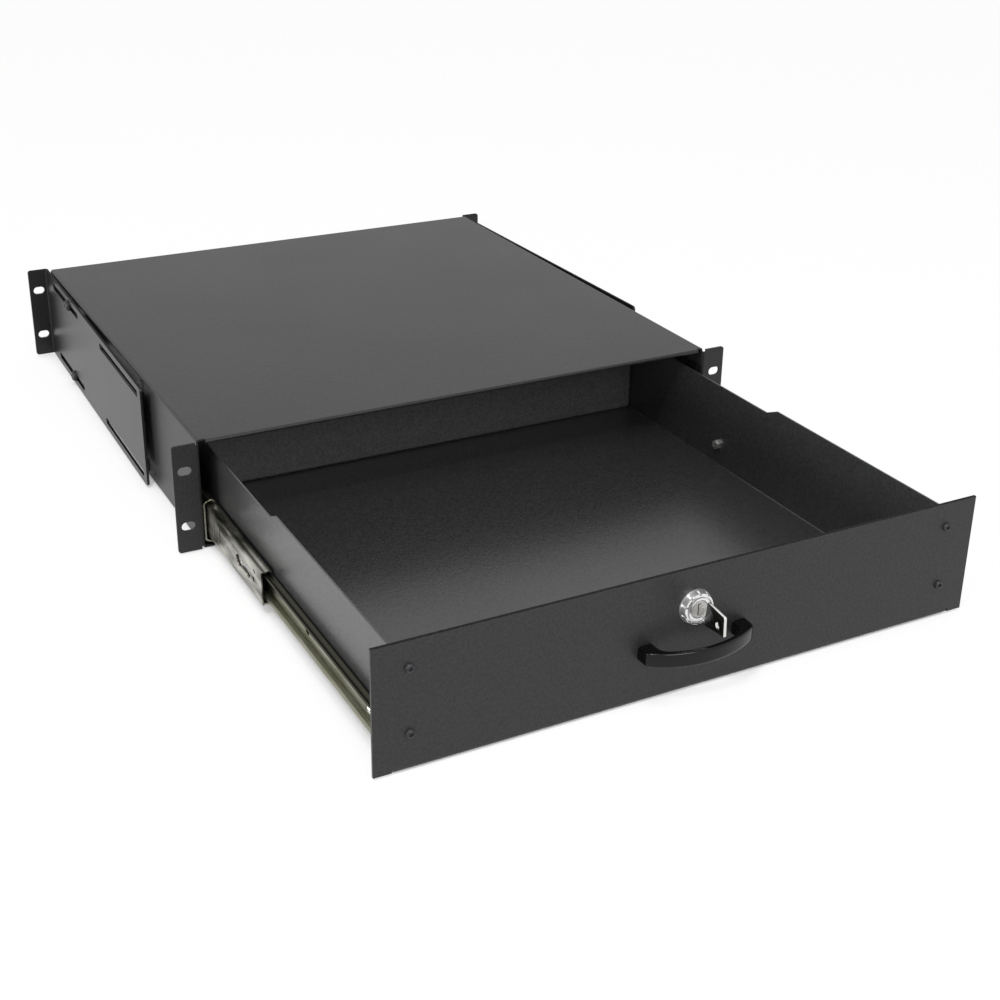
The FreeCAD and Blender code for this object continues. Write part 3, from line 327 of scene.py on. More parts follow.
def rounded_ring(count, half_width, half_height, square):
    """Section of a rounded bar: x and z are signed powers of the cosine and sine of the angle.

    The power two over the squareness makes two an ellipse and larger numbers nearly a box."""
    angle = np.linspace(0, 2 * np.pi, count, endpoint=False)
    cosine, sine = np.cos(angle), np.sin(angle)
    power = 2.0 / square
    x = half_width * np.sign(cosine) * np.abs(cosine) ** power
    z = half_height * np.sign(sine) * np.abs(sine) ** power
    return x, z


def turned_points(angles, radii, heights):
    """Surface of revolution: each row has one height, and a radius for each angle."""
    x = radii * np.cos(angles)[None, :]
    z = radii * np.sin(angles)[None, :]
    y = np.broadcast_to(heights[:, None], x.shape)
    return np.stack([x, y, z], axis=-1)


def place_along(points, start, along):
    """Turns points whose axis is Y so that it runs along a direction from a start point."""
    turn = Vector((0.0, 1.0, 0.0)).rotation_difference(Vector(along)).to_matrix()
    return points @ np.array(turn).T + np.array(start)


# Finishes


def new_finish(name):
    """A material with only a Principled shader, and that shader."""
    material = bpy.data.materials.new(name)
    material.use_nodes = True
    nodes = material.node_tree.nodes
    nodes.clear()
    shader = nodes.new("ShaderNodeBsdfPrincipled")
    output = nodes.new("ShaderNodeOutputMaterial")
    material.node_tree.links.new(shader.outputs["BSDF"], output.inputs["Surface"])
    return material, shader


def joined(material, source, target):
    """Links a node's output to an input."""
    material.node_tree.links.new(source, target)


def object_noise(material, width, detail, stretch=(1.0, 1.0, 1.0)):
    """Noise in object coordinates whose blobs are about as wide as stated."""
    nodes = material.node_tree.nodes
    place = nodes.new("ShaderNodeTexCoord")
    mapping = nodes.new("ShaderNodeMapping")
    mapping.inputs["Scale"].default_value = stretch
    noise = nodes.new("ShaderNodeTexNoise")
    noise.inputs["Scale"].default_value = 1.0 / width
    noise.inputs["Detail"].default_value = detail
    joined(material, place.outputs["Object"], mapping.inputs["Vector"])
    joined(material, mapping.outputs["Vector"], noise.inputs["Vector"])
    return noise.outputs["Fac"]


def object_axis(material, axis):
    """One of the object coordinates."""
    nodes = material.node_tree.nodes
    place = nodes.new("ShaderNodeTexCoord")
    parts = nodes.new("ShaderNodeSeparateXYZ")
    joined(material, place.outputs["Object"], parts.inputs["Vector"])
    return parts.outputs[axis]


def blend_range(material, source, low, high, start=0.3, end=0.7):
    """Value that runs from low to high while the source runs from start to end."""
    node = material.node_tree.nodes.new("ShaderNodeMapRange")
    node.inputs["From Min"].default_value = start
    node.inputs["From Max"].default_value = end
    node.inputs["To Min"].default_value = low
    node.inputs["To Max"].default_value = high
    joined(material, source, node.inputs["Value"])
    return node.outputs["Result"]


def blend_colours(material, factor, first, second):
    """Mix of two colours by a factor; the first may also be a node's output."""
    node = material.node_tree.nodes.new("ShaderNodeMix")
    node.data_type = "RGBA"
    if isinstance(first, bpy.types.NodeSocket):
        joined(material, first, node.inputs["A"])
    else:
        node.inputs["A"].default_value = (*first, 1.0)
    node.inputs["B"].default_value = (*second, 1.0)
    joined(material, factor, node.inputs["Factor"])
    return node.outputs["Result"]


def tone(base, factor):
    """A colour made lighter or darker."""
    return tuple(min(1.0, channel * factor) for channel in base)


def rounded_edges(material, radius):
    """Normal that rounds sharp edges by a small radius."""
    node = material.node_tree.nodes.new("ShaderNodeBevel")
    node.samples = 4
    node.inputs["Radius"].default_value = radius
    return node.outputs["Normal"]


def raise_bumps(material, shader, source, height, normal=None):
    """Bump whose full range is a height in metres."""
    node = material.node_tree.nodes.new("ShaderNodeBump")
    node.inputs["Strength"].default_value = 1.0
    node.inputs["Distance"].default_value = height
    joined(material, source, node.inputs["Height"])
    if normal is not None:
        joined(material, normal, node.inputs["Normal"])
    joined(material, node.outputs["Normal"], shader.inputs["Normal"])


def powder_coat(name, base, roughness, gleam, look, rim=None):
    """Satin powder coat: fine specks in tone and height, and a slow drift of gloss.

    Where a rim is given, the sheared edge at that height is dull."""
    dark_speck, pale_speck = tone(base, 0.65), tone(base, 1.38)
    gloss_drift = 0.03
    rim_gleam, rim_start, rim_end = 0.02, 0.4 * MM, 0.1 * MM
    material, shader = new_finish(name)
    shader.inputs["Specular IOR Level"].default_value = gleam
    drift = object_noise(material, look.ripple, 0.0)
    specks = object_noise(material, look.grain, 2.0)
    tint = blend_range(material, specks, 0.0, 1.0)
    joined(material, blend_colours(material, tint, dark_speck, pale_speck),
           shader.inputs["Base Color"])
    joined(material, blend_range(material, drift, roughness, roughness + gloss_drift, 0.0, 1.0),
           shader.inputs["Roughness"])
    if rim is not None:
        up = object_axis(material, "Z")
        joined(material,
               blend_range(material, up, gleam, rim_gleam, rim - rim_start, rim - rim_end),
               shader.inputs["Specular IOR Level"])
    raise_bumps(material, shader, specks, look.grain_height, rounded_edges(material, look.edge))
    return material


def rolled_zinc(name, look, pale, dark, low, high, brow=None):
    """Passivated zinc on rolled strip: streaks along the slide between two tones.

    Where a brow height is given, the rolled edge above it is darkened with painted shade."""
    cloud_width, cloud_stretch = 12 * MM, (1.0, 0.30, 1.6)
    least_dark, cloud_start, cloud_end = 0.30, 0.34, 0.62
    streak_width, streak_stretch, streak_height = 1.1 * MM, (1.0, 0.03, 1.0), 0.012 * MM
    shade_fade, shade_tone = 0.5 * MM, 0.2
    material, shader = new_finish(name)
    shader.inputs["Metallic"].default_value = 1.0
    clouds = object_noise(material, cloud_width, 4.0, cloud_stretch)
    tint = blend_range(material, clouds, least_dark, 1.0, cloud_start, cloud_end)
    hue = blend_colours(material, tint, pale, dark)
    if brow is not None:
        up = object_axis(material, "Z")
        # Painted shade: the upper flange is blended to a dark tone above the brow.
        painted_shade = blend_range(material, up, 0.0, 1.0, brow - shade_fade, brow + shade_fade)
        hue = blend_colours(material, painted_shade, hue, tone(dark, shade_tone))
    joined(material, hue, shader.inputs["Base Color"])
    streaks = object_noise(material, streak_width, 5.0, streak_stretch)
    joined(material, blend_range(material, streaks, low, high), shader.inputs["Roughness"])
    raise_bumps(material, shader, streaks, streak_height, rounded_edges(material, look.edge))
    return material


def plated(name, base, low, high, width, height, dark):
    """Plated metal whose tone and gloss vary a little in spots of a stated width.

    The fine bumps are a fifth as wide as the spots."""
    edge = 0.25 * MM
    material, shader = new_finish(name)
    shader.inputs["Metallic"].default_value = 1.0
    spots = object_noise(material, width, 4.0)
    tint = blend_range(material, spots, 0.0, 1.0)
    joined(material, blend_colours(material, tint, tone(base, dark), base),
           shader.inputs["Base Color"])
    joined(material, blend_range(material, spots, low, high), shader.inputs["Roughness"])
    fine = object_noise(material, width / 5, 2.0)
    raise_bumps(material, shader, fine, height, rounded_edges(material, edge))
    return material


def turned_chrome(name, base):
    """Chrome that is bright on the collar's face and satin round its flank.

    The depth behind the collar's face, in object coordinates, blends the two."""
    bright, satin, unevenness = 0.14, 0.36, 0.08
    blend_start, blend_end = 0.4 * MM, 0.9 * MM
    spot_width, bump_height = 2 * MM, 0.004 * MM
    material, shader = new_finish(name)
    shader.inputs["Metallic"].default_value = 1.0
    shader.inputs["Base Color"].default_value = (*base, 1.0)
    front = LOCK_BOX[0].y
    spots = object_noise(material, spot_width, 3.0)
    depth = object_axis(material, "Y")
    polish = blend_range(material, depth, bright, satin, front + blend_start, front + blend_end)
    uneven = material.node_tree.nodes.new("ShaderNodeMath")
    uneven.operation = "MULTIPLY_ADD"
    uneven.inputs[1].default_value = unevenness
    joined(material, spots, uneven.inputs[0])
    joined(material, polish, uneven.inputs[2])
    joined(material, uneven.outputs["Value"], shader.inputs["Roughness"])
    raise_bumps(material, shader, spots, bump_height)
    return material


def nickel_painted_shade_flats(name, edge, flat):
    """Nickel round the key's edges, with painted shade on its flat sides: the flats take a dark colour.

    The distance from the key's middle plane, in object coordinates, tells the sides from the edges."""
    shade_start, shade_end = 0.90, 0.99
    glossy, dull, spot_width, bump_height = 0.16, 0.28, 3 * MM, 0.01 * MM
    material, shader = new_finish(name)
    shader.inputs["Metallic"].default_value = 1.0
    nodes = material.node_tree.nodes
    away = nodes.new("ShaderNodeMath")
    away.operation = "SUBTRACT"
    away.inputs[1].default_value = PULL_X
    joined(material, object_axis(material, "X"), away.inputs[0])
    distance = nodes.new("ShaderNodeMath")
    distance.operation = "ABSOLUTE"
    joined(material, away.outputs["Value"], distance.inputs[0])
    half = (KEY_BOX[1].x - KEY_BOX[0].x) / 2
    # Painted shade: this mask gives the flat sides the dark colour and keeps the edges nickel.
    side = blend_range(material, distance.outputs["Value"], 0.0, 1.0,
                       half * shade_start, half * shade_end)
    joined(material, blend_colours(material, side, edge, flat), shader.inputs["Base Color"])
    spots = object_noise(material, spot_width, 3.0)
    joined(material, blend_range(material, spots, glossy, dull), shader.inputs["Roughness"])
    raise_bumps(material, shader, spots, bump_height)
    return material


def lacquer(name, base):
    """Glossy black lacquer over moulded metal: hardly uneven, with faint orange peel."""
    glossy, dull, spot_width, gleam = 0.12, 0.16, 12 * MM, 0.22
    coat_share, coat_roughness = 0.10, 0.08
    peel_width, peel_height = 1.6 * MM, 0.015 * MM
    material, shader = new_finish(name)
    spots = object_noise(material, spot_width, 2.0)
    joined(material, blend_colours(material, blend_range(material, spots, 0.0, 1.0),
                                   tone(base, 0.8), tone(base, 1.3)),
           shader.inputs["Base Color"])
    joined(material, blend_range(material, spots, glossy, dull), shader.inputs["Roughness"])
    shader.inputs["Specular IOR Level"].default_value = gleam
    shader.inputs["Coat Weight"].default_value = coat_share
    shader.inputs["Coat Roughness"].default_value = coat_roughness
    peel = object_noise(material, peel_width, 1.0)
    raise_bumps(material, shader, peel, peel_height)
    return material


def blackened(name, base):
    """Black oxide on screws: dull, with a slight sheen and fine grain."""
    glossy, dull, gleam, metal_share = 0.30, 0.50, 0.22, 0.3
    spot_width, bump_height = 1.5 * MM, 0.02 * MM
    material, shader = new_finish(name)
    spots = object_noise(material, spot_width, 3.0)
    joined(material, blend_colours(material, blend_range(material, spots, 0.0, 1.0),
                                   tone(base, 0.6), tone(base, 1.5)),
           shader.inputs["Base Color"])
    joined(material, blend_range(material, spots, glossy, dull), shader.inputs["Roughness"])
    shader.inputs["Specular IOR Level"].default_value = gleam
    shader.inputs["Metallic"].default_value = metal_share
    raise_bumps(material, shader, spots, bump_height)
    return material


def finish(name):
    """A finish that an earlier operator made."""
    material = bpy.data.materials.get(name)
    if material is None:
        raise RuntimeError(f"the finish {name} isn't made yet")
    return material


def dress(material, *nodes):
    """Gives CAD nodes a finish."""
    for node in nodes:
        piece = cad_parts[node]
        for place in piece.material_slots:
            place.material = material


def both(*names):
    """Names of paired nodes on the left and on the right."""
    return [name + side for name in names for side in ("_left", "_right")]


# Operators


class DRAWER_OT_finishes(Operator):
    """Makes the finishes and gives them to the CAD nodes."""

    bl_idname = "drawer.finishes"
    bl_label = "Finishes"

    def execute(self, context):
        paint = context.scene.drawer_paint
        metal = context.scene.drawer_metal
        top = PANEL_BOX[1].z
        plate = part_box("rear_bracket_right")[1].z
        coats = (
            ("case_coat", paint.case, paint.roughness, paint.case_gleam, None,
             ["case_shell", "case_back", "lock_strike"]),
            ("tray_coat", paint.tray, paint.tray_roughness, paint.tray_gleam, None, ["drawer_tray"]),
            ("back_coat", paint.back, paint.roughness, paint.back_gleam, None, ["drawer_back"]),
            ("panel_coat", paint.panel, paint.roughness, paint.panel_gleam, top, ["front_panel"]),
            ("bracket_coat", paint.bracket, paint.bracket_roughness, paint.bracket_gleam, plate,
             both("rear_bracket")))
        for name, base, roughness, gleam, rim, pieces in coats:
            dress(powder_coat(name, base, roughness, gleam, paint, rim), *pieces)
        pale, olive = metal.zinc, metal.passivate
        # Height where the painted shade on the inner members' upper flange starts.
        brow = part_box("slide_inner_left")[1].z - metal.brow
        strips = (
            ("rolled_zinc", pale, olive, 0.18, 0.34, None, both("slide_outer")),
            ("worn_zinc", tone(pale, 1.5), tone(olive, 0.35), 0.28, 0.42, None,
             both("slide_middle")),
            ("olive_zinc", tone(pale, 0.8), tone(olive, 1.4), 0.36, 0.50, brow,
             both("slide_inner")))
        for name, light, dark, low, high, start, pieces in strips:
            dress(rolled_zinc(name, paint, light, dark, low, high, start), *pieces)
        platings = (
            ("pressed_cage", metal.cage, 0.25, 0.42, 4.0, 0.020, 0.80,
             both("ball_cage_outer", "ball_cage_inner")),
            ("bearing_ball", metal.ball, 0.06, 0.14, 2.0, 0.002, 0.92,
             both("balls_outer", "balls_inner")),
            ("zinc_fastener", metal.fastener, 0.28, 0.45, 2.0, 0.020, 0.80,
             ["panel_nuts", "handle_screws", "lock_nut", "lock_cam", "cam_screw",
              *both("slide_outer_screws", "slide_inner_screws", "slide_inner_nuts")]),
            ("satin_plug", metal.plug, 0.30, 0.42, 1.5, 0.010, 0.80, ["lock_plug"]))
        for name, base, low, high, width, height, dark, pieces in platings:
            dress(plated(name, base, low, high, width * MM, height * MM, dark), *pieces)
        turned_chrome("lock_chrome_plate", metal.chrome)
        # The key's flats get painted shade from the dark colour.
        nickel_painted_shade_flats("key_nickel_painted_shade", metal.nickel, metal.key_flat)
        dress(blackened("black_oxide", metal.black), *both("bracket_washers", "bracket_inserts"))
        lacquer("handle_lacquer", context.scene.drawer_handle.coat)
        return {"FINISHED"}


class DRAWER_OT_handle(Operator):
    """Bow handle: a rounded section turned from foot to foot round the middle of its seat."""

    bl_idname = "drawer.handle"
    bl_label = "Pull handle"

    def execute(self, context):
        size = context.scene.drawer_handle
        low, high = HANDLE_BOX
        rays, ring_steps, smooth_angle = 241, 72, 50.0
        turn = np.linspace(-np.pi / 2, np.pi / 2, rays)
        outer, inner = bow_edges(size, turn)
        side, rise = rounded_ring(ring_steps, 1.0, size.height / 2, size.square)
        distance = ((outer + inner)[:, None] + (outer - inner)[:, None] * side[None, :]) / 2
        points = np.empty((len(turn), len(side), 3))
        points[:, :, 0] = (low.x + high.x) / 2 + distance * np.sin(turn)[:, None]
        points[:, :, 1] = PANEL_FACE - distance * np.cos(turn)[:, None]
        points[:, :, 2] = (low.z + high.z) / 2 + rise[None, :]
        piece = add_piece("handle_bow", [closed_tube(points)], finish("handle_lacquer"),
                          smooth_angle)
        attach(piece, "drawer")
        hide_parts("pull_handle")
        return {"FINISHED"}


def bow_edges(size, turn):
    """Distances of the bow's outer and inner edge from the middle of its seat, for each turn.

    Both follow arcs round one centre behind the panel: a ray turned by t meets the arc of radius R
    at -c cos t + sqrt(R^2 - c^2 sin^2 t), and an end face at half the width over sin t. Each edge is
    the soft minimum of the two, which rounds the corner between them: the higher the power, the
    sharper the corner."""
    outer_power, inner_power = 24.0, 12.0
    half = size.width / 2
    rise = size.reach - size.end
    radius = (half**2 + rise**2) / (2 * rise)
    centre = radius - size.reach
    sine = np.maximum(np.abs(np.sin(turn)), 1e-6)

    def edge(arc_radius, half_width, power):
        arc = np.sqrt(arc_radius**2 - (centre * sine) ** 2) - centre * np.cos(turn)
        return (arc**-power + (half_width / sine) ** -power) ** (-1 / power)
    return (edge(radius, half, outer_power),
            edge(radius - size.bar, half - size.foot, inner_power))


class DRAWER_OT_lock(Operator):
    """Lock body: one profile turned round the lock's axis, with notches in the collar's flank.

    A notch is cut where the negative cosine of notches times the angle passes a level. The barrel's
    two flats lie at their half width over the cosine of the angle."""

    bl_idname = "drawer.lock"
    bl_label = "Lock body"

    def execute(self, context):
        size = context.scene.drawer_lock
        steps, edge, groove_depth, smooth_angle = 360, 0.3 * MM, 1.8 * MM, 30.0
        flank_share, seat_share = 0.68, 0.70
        angles = np.linspace(0, 2 * np.pi, steps, endpoint=False)
        front = PANEL_FACE - size.height
        rear = LOCK_BOX[1].y
        groove_floor = front + groove_depth
        flank_end = front + flank_share * size.height
        seat_start = front + seat_share * size.height
        mouth = [(size.bore, front + edge), (size.bore + edge, front), (size.lip - 0.5 * edge, front),
                 (size.lip, groove_floor), (size.groove - 0.3 * edge, groove_floor),
                 (size.groove, front + edge), (size.groove + 0.5 * edge, front),
                 (size.face - 1.5 * edge, front)]
        flank = [(size.face - 0.4 * edge, front + 0.4 * edge), (size.face, front + edge),
                 (size.face + edge, front + 2 * edge), (size.face + 3 * edge, flank_end)]
        seat = [(size.face + 3 * edge, seat_start), (size.collar, PANEL_FACE - edge),
                (size.collar, PANEL_FACE)]
        barrel = [(size.barrel, PANEL_FACE), (size.barrel, rear - edge), (size.barrel - edge, rear)]
        bore = [(size.bore, rear), (size.bore, (front + rear) / 2)]
        profile = np.array(mouth + flank + seat + barrel + bore)
        radii = np.repeat(profile[:, :1], len(angles), axis=1)
        notched = slice(len(mouth), len(mouth + flank))
        floor = size.face - size.notch_depth
        wave = -np.cos(angles * size.notches)
        notch = np.clip((wave - size.notch_level) * size.notch_steep, 0.0, 1.0)
        radii[notched] -= notch[None, :] * np.maximum(radii[notched] - floor, 0.0)
        flattened = slice(len(mouth + flank + seat), len(mouth + flank + seat + barrel))
        flats = size.flat / np.maximum(np.abs(np.cos(angles)), 1e-6)
        radii[flattened] = np.minimum(radii[flattened], flats[None, :])
        points = turned_points(angles, radii, profile[:, 1])
        points += np.array([PULL_X, 0.0, LOCK_Z])
        piece = add_piece("lock_collar", [closed_ring(points)], finish("lock_chrome_plate"),
                          smooth_angle)
        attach(piece, "drawer")
        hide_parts("lock_body")
        return {"FINISHED"}


class DRAWER_OT_key(Operator):
    """Key: a four-sided bow with soft corners round its ring hole, and a grooved blade.

    The bow is one ring of rows: each row has its place across the key and its distance from the
    hole's middle for every angle."""

    bl_idname = "drawer.key"
    bl_label = "Key"

    def execute(self, context):
        size = context.scene.drawer_key
        low, high = KEY_BOX
        steps, corner_power, smooth_angle = 160, 26.0, 30.0
        centre_y = low.y + size.ring_forward
        centre_z = LOCK_Z - size.ring_drop
        slant = size.slant
        rear = LOCK_BOX[0].y - size.stand
        corners = np.array([(rear, low.z), (rear - slant, high.z),
                            (low.y + slant / 3, high.z - slant), (low.y, low.z + slant)])
        angles = np.linspace(0, 2 * np.pi, steps, endpoint=False)
        reach = soft_polygon(corners, (centre_y, centre_z), angles, corner_power)
        hole = np.full(len(angles), size.ring_hole)
        half = size.thickness / 2
        soft = 0.35 * MM
        nearly = 0.3 * soft
        rows = [(-half + soft, hole), (half - soft, hole), (half, hole + soft),
                (half, reach - soft), (half - nearly, reach - nearly), (half - soft, reach),
                (-half + soft, reach), (-half + nearly, reach - nearly), (-half, reach - soft),
                (-half, hole + soft)]
        x = np.array([side for side, _ in rows])
        distance = np.array([away for _, away in rows])
        points = np.empty((len(rows), len(angles), 3))
        points[..., 0] = PULL_X + x[:, None]
        points[..., 1] = centre_y + distance * np.cos(angles)
        points[..., 2] = centre_z + distance * np.sin(angles)
        blade = blade_points(rear - slant, KEY_BOX[1].y, size)
        piece = add_piece("key_flat", [closed_ring(points), closed_tube(blade)],
                          finish("key_nickel_painted_shade"), smooth_angle)
        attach(piece, "key")
        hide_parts("key")
        return {"FINISHED"}


def soft_polygon(corners, centre, angles, power):
    """Distance from a point inside a polygon to its edge for each angle, with soft corners.

    Each side gives how steeply the ray runs at it over the side's distance; the sum of their powers
    takes the nearest side and rounds where two are near."""
    ahead = np.roll(corners, -1, axis=0)
    run = ahead - corners
    normal = np.stack([run[:, 1], -run[:, 0]], axis=1)
    normal /= np.linalg.norm(normal, axis=1)[:, None]
    offset = np.einsum("ij,ij->i", corners - np.array(centre), normal)
    normal = np.where(offset[:, None] < 0, -normal, normal)
    offset = np.abs(offset)
    ray = np.stack([np.cos(angles), np.sin(angles)])
    steep = np.maximum(normal @ ray, 0.0) / offset[:, None]
    return (steep**power).sum(0) ** (-1.0 / power)


def blade_points(start, end, size):
    """Blade: a rounded bar along the lock's axis whose left side has one long milled groove.

    The groove's depth is a steep bell of the height. The blade narrows at its tip."""
    groove_z, groove_half, groove_depth = 0.9 * MM, 0.8 * MM, 0.45 * MM
    tip_length, tip_share, thin_share = 0.5 * MM, 0.8, 0.45
    first, last = start + 0.2 * MM, end - 0.6 * MM
    rows, ring_steps, square = 40, 48, 9.0
    y = np.concatenate([[start], np.linspace(first, last, rows), [end]])
    shrink = np.where(y > end - tip_length, tip_share, 1.0)
    x, z = rounded_ring(ring_steps, size.thickness * thin_share, size.blade / 2, square)
    bell = np.exp(-((z - groove_z) / groove_half) ** 4)
    depth = groove_depth * bell * (x < 0)
    points = np.empty((len(y), len(x), 3))
    points[..., 0] = PULL_X + (x + depth)[None, :] * shrink[:, None]
    points[..., 1] = y[:, None]
    points[..., 2] = LOCK_Z + z[None, :] * shrink[:, None]
    return points


class DRAWER_OT_panel_screws(Operator):
    """The four button-headed screws of the front panel."""

    bl_idname = "drawer.panel_screws"
    bl_label = "Panel screws"

    def execute(self, context):
        size = context.scene.drawer_screw
        low, high = SCREW_BOX
        through = high.y - PANEL_FACE
        shells = []
        for x in (low.x + size.head, high.x - size.head):
            for z in (low.z + size.head, high.z - size.head):
                shell, groups = closed_tube(screw_points(size.head, size.head_height, size.shank,
                                                         size.socket, through))
                shells.append((place_along(shell, (x, PANEL_FACE, z), (0, 1, 0)), groups))
        piece = add_piece("panel_buttons", shells, finish("black_oxide"), BUTTON_SMOOTH)
        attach(piece, "drawer")
        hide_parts("panel_screws")
        return {"FINISHED"}


class DRAWER_OT_bracket_screws(Operator):
    """The screws that clamp the rear brackets through their washers."""

    bl_idname = "drawer.bracket_screws"
    bl_label = "Bracket screws"

    def execute(self, context):
        size = context.scene.drawer_screw
        sine, cosine = math.sin(size.splay), math.cos(size.splay)
        for side, sign in (("left", -1), ("right", 1)):
            low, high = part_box("bracket_washers_" + side)
            edge = high.x if sign > 0 else low.x
            seat = edge - sign * (high.y - low.y) / 2 * sine
            y = (low.y + high.y) / 2 + size.washer / 2 * sine
            spread = (high.z - low.z) / 2 - size.washer_radius
            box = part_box("bracket_screws_" + side)
            through = (box[1].x - box[0].x) - size.big_height
            inward = (-sign * cosine, -sine, 0.0)
            shells = []
            for z in (-spread, spread):
                shell, groups = closed_tube(screw_points(size.big_head, size.big_height,
                                                         size.big_shank, size.big_socket, through))
                shells.append((place_along(shell, (seat, y, z), inward), groups))
            piece = add_piece("bracket_buttons_" + side, shells, finish("black_oxide"),
                              BUTTON_SMOOTH)
            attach(piece, "case")
            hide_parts("bracket_screws_" + side)
        return {"FINISHED"}


def screw_points(head, height, shank, socket, through):
    """Rings of a button-headed screw along Y, its head in front of zero.

    Round rows keep one radius; the socket's rows follow a hexagon, whose radius is half the flats
    over the cosine of the angle from the nearest flat's middle. The crown is a quarter wave: its
    radius goes with the sine and its height with one minus the cosine."""
    steps, crown_steps = 72, 8
    floor_share, mouth_share, socket_depth, rim_share = 0.4, 0.94, 0.45, 0.62
    crown_share, tip_share, tip_length = 0.792, 0.85, 0.4 * MM
    angles = np.linspace(0, 2 * np.pi, steps, endpoint=False)
    off_flat = (angles + np.pi / 6) % (np.pi / 3) - np.pi / 6
    hexagon = socket / 2 / np.cos(off_flat)
    rim = socket * rim_share
    radii = [hexagon * floor_share, hexagon, hexagon, np.full(steps, rim)]
    heights = [-height * socket_depth, -height * socket_depth, -height * mouth_share, -height]
    for angle in np.linspace(0, np.pi / 2, crown_steps + 1)[1:]:
        radii.append(np.full(steps, rim + (head - rim) * math.sin(angle)))
        heights.append(-height + height * crown_share * (1 - math.cos(angle)))
    radii += [np.full(steps, radius) for radius in (head, shank, shank, shank * tip_share)]
    heights += [0.0, 0.0, through - tip_length, through]
    return turned_points(angles, np.array(radii), np.array(heights))


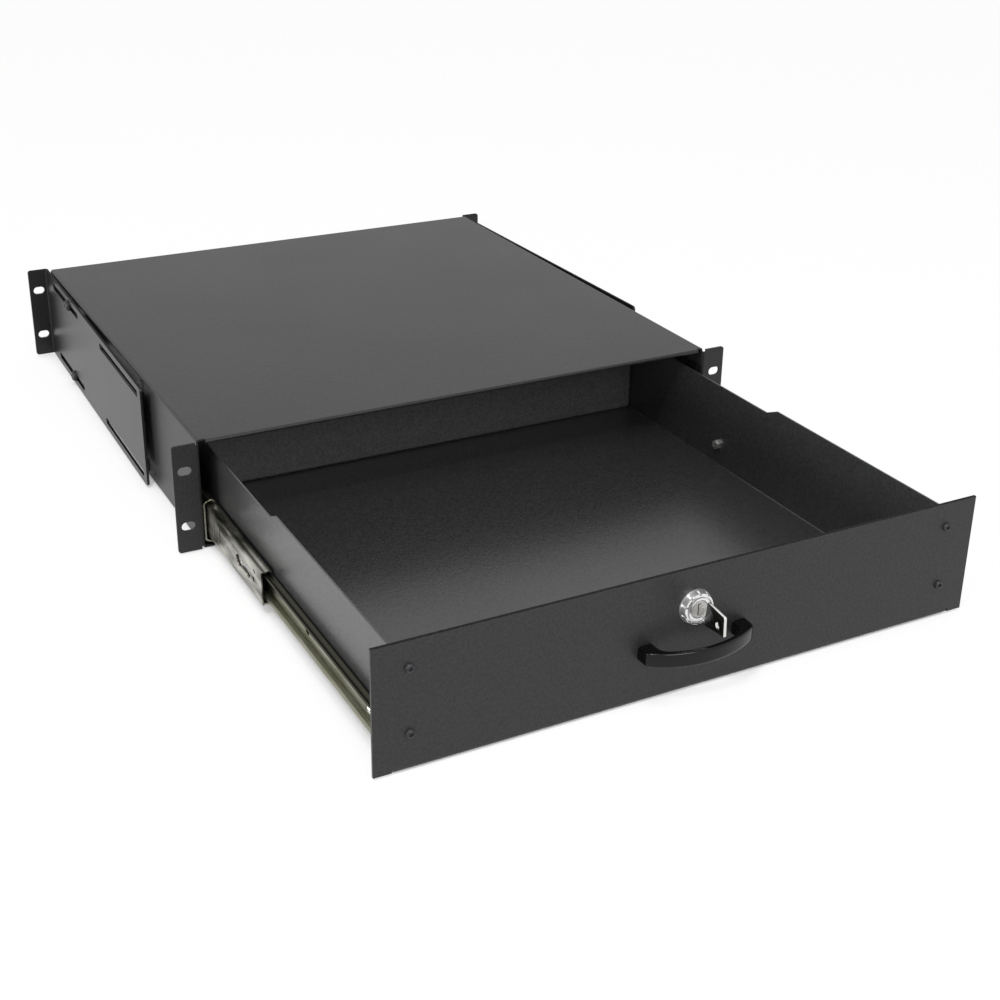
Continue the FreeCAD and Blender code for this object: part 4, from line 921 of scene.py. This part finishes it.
class DRAWER_OT_studio(Operator):
    """Pale floor, white surroundings, four lamps and the camera."""

    bl_idname = "drawer.studio"
    bl_label = "Studio"

    def execute(self, context):
        size = context.scene.drawer_studio
        self.add_floor(context, size)
        self.light_sky(context, size)
        lamps = (
            ("soft_main", size.main_power, (-0.5, -0.6, 1.9), 0.7, 0.7),
            ("soft_side", size.side_power, (-1.9, 0.1, 0.09), 1.2, 0.2),
            ("soft_front", size.front_power, (0.0, -2.2, 1.0), 1.0, 1.0),
            ("small_glint", size.glint_power, (-0.9, -0.9, 1.6), 0.12, 0.12))
        for name, power, place, width, height in lamps:
            self.add_lamp(context, name, power, place, width, height)
        self.add_camera(context, size)
        context.scene.view_settings.view_transform = "Standard"
        return {"FINISHED"}

    def add_floor(self, context, size):
        """Flat floor under the lowest point, white to the camera except in the crevice under a piece."""
        gap, reach, lines = 0.2 * MM, 6.0, 13
        roughness, shade_samples = 0.9, 8
        level = CAD_BOX[0].z - gap
        line = np.linspace(-reach, reach, lines)
        x, y = np.meshgrid(line, line)
        verts = np.stack([x, y, np.full_like(x, level)], axis=-1).reshape(-1, 3)
        mesh = bpy.data.meshes.new("floor")
        mesh.from_pydata(verts, [], grid_faces(lines, lines, False, False).tolist())
        mesh.update()
        material, shader = new_finish("studio_floor")
        shader.inputs["Base Color"].default_value = (*size.floor, 1.0)
        shader.inputs["Roughness"].default_value = roughness
        nodes = material.node_tree.nodes
        glow = nodes.new("ShaderNodeEmission")
        rays = nodes.new("ShaderNodeLightPath")
        seen = nodes.new("ShaderNodeMath")
        seen.operation = "MAXIMUM"
        weight = nodes.new("ShaderNodeMath")
        weight.operation = "MULTIPLY"
        weight.inputs[1].default_value = size.floor_glow
        shade = nodes.new("ShaderNodeAmbientOcclusion")
        shade.samples = shade_samples
        shade.inputs["Distance"].default_value = size.crevice
        open_share = nodes.new("ShaderNodeMath")
        open_share.operation = "MULTIPLY"
        mix = nodes.new("ShaderNodeMixShader")
        joined(material, rays.outputs["Is Camera Ray"], seen.inputs[0])
        joined(material, rays.outputs["Is Glossy Ray"], seen.inputs[1])
        joined(material, seen.outputs["Value"], open_share.inputs[0])
        joined(material, shade.outputs["AO"], open_share.inputs[1])
        joined(material, open_share.outputs["Value"], weight.inputs[0])
        joined(material, weight.outputs["Value"], mix.inputs["Fac"])
        joined(material, shader.outputs["BSDF"], mix.inputs[1])
        joined(material, glow.outputs["Emission"], mix.inputs[2])
        output = next(node for node in nodes if node.type == "OUTPUT_MATERIAL")
        joined(material, mix.outputs["Shader"], output.inputs["Surface"])
        mesh.materials.append(material)
        floor = bpy.data.objects.new("floor", mesh)
        context.scene.collection.objects.link(floor)

    def light_sky(self, context, size):
        """White to the camera and in reflections, and dimmer on dull surfaces."""
        world = bpy.data.worlds.new("white_studio")
        world.use_nodes = True
        context.scene.world = world
        nodes, links = world.node_tree.nodes, world.node_tree.links
        sky = nodes["Background"]
        sky.inputs["Color"].default_value = (1.0, 1.0, 1.0, 1.0)
        rays = nodes.new("ShaderNodeLightPath")
        direct = nodes.new("ShaderNodeMath")
        direct.operation = "MAXIMUM"
        seen = nodes.new("ShaderNodeMath")
        seen.operation = "MAXIMUM"
        strength = nodes.new("ShaderNodeMapRange")
        strength.inputs["To Min"].default_value = size.sky
        links.new(rays.outputs["Is Camera Ray"], direct.inputs[0])
        links.new(rays.outputs["Is Glossy Ray"], direct.inputs[1])
        links.new(direct.outputs["Value"], seen.inputs[0])
        links.new(rays.outputs["Is Transmission Ray"], seen.inputs[1])
        links.new(seen.outputs["Value"], strength.inputs["Value"])
        links.new(strength.outputs["Result"], sky.inputs["Strength"])

    def add_lamp(self, context, name, power, place, width, height):
        """Soft lamp with straight sides that looks at the origin."""
        lamp = bpy.data.lights.new(name, "AREA")
        lamp.energy = power
        lamp.shape = "RECTANGLE"
        lamp.size = width
        lamp.size_y = height
        holder = bpy.data.objects.new(name, lamp)
        holder.location = place
        holder.rotation_euler = (-Vector(place)).to_track_quat("-Z", "Y").to_euler()
        context.scene.collection.objects.link(holder)

    def add_camera(self, context, size):
        """Camera from its turn, tilt and roll: its axes are worked out from those angles."""
        forward = Vector((math.sin(size.yaw) * math.cos(size.pitch),
                          math.cos(size.yaw) * math.cos(size.pitch), -math.sin(size.pitch)))
        level = Vector((math.cos(size.yaw), -math.sin(size.yaw), 0.0))
        down = forward.cross(level)
        right = level * math.cos(size.roll) + down * math.sin(size.roll)
        up = right.cross(forward)
        data = bpy.data.cameras.new("camera")
        data.sensor_width = 36.0
        data.lens = size.lens
        data.shift_y = size.shift
        data.clip_start = 0.01
        data.clip_end = 50.0
        camera = bpy.data.objects.new("camera", data)
        axes = Matrix((right, up, -forward)).transposed().to_4x4()
        camera.matrix_world = Matrix.Translation(Vector(size.camera)) @ axes
        context.scene.collection.objects.link(camera)
        context.scene.camera = camera


class DRAWER_PT_panel(Panel):
    """Lists the operators that dress the drawer."""

    bl_idname = "DRAWER_PT_panel"
    bl_label = "Sliding rack drawer"
    bl_space_type = "VIEW_3D"
    bl_region_type = "UI"
    bl_category = "Drawer"

    def draw(self, context):
        for step in STEPS:
            self.layout.operator(step.bl_idname)


GROUPS = {
    "drawer_paint": DrawerPaint,
    "drawer_metal": DrawerMetal,
    "drawer_handle": DrawerHandle,
    "drawer_lock": DrawerLock,
    "drawer_key": DrawerKey,
    "drawer_screw": DrawerScrew,
    "drawer_studio": DrawerStudio,
}
STEPS = (DRAWER_OT_studio, DRAWER_OT_finishes, DRAWER_OT_handle, DRAWER_OT_lock, DRAWER_OT_key,
         DRAWER_OT_panel_screws, DRAWER_OT_bracket_screws)


def register():
    """Registers the properties, the operators and the panel."""
    for group in GROUPS.values():
        bpy.utils.register_class(group)
    for name, group in GROUPS.items():
        setattr(bpy.types.Scene, name, PointerProperty(type=group))
    for part in (*STEPS, DRAWER_PT_panel):
        bpy.utils.register_class(part)


def unregister():
    """Takes them all out again."""
    for part in reversed((*STEPS, DRAWER_PT_panel)):
        bpy.utils.unregister_class(part)
    for name in GROUPS:
        delattr(bpy.types.Scene, name)
    for group in reversed(list(GROUPS.values())):
        bpy.utils.unregister_class(group)


def main():
    """Makes the studio and every piece."""
    register()
    for step in STEPS:
        section, name = step.bl_idname.split(".")
        getattr(getattr(bpy.ops, section), name)()
    bpy.context.view_layer.update()


if __name__ == "__main__":
    main()
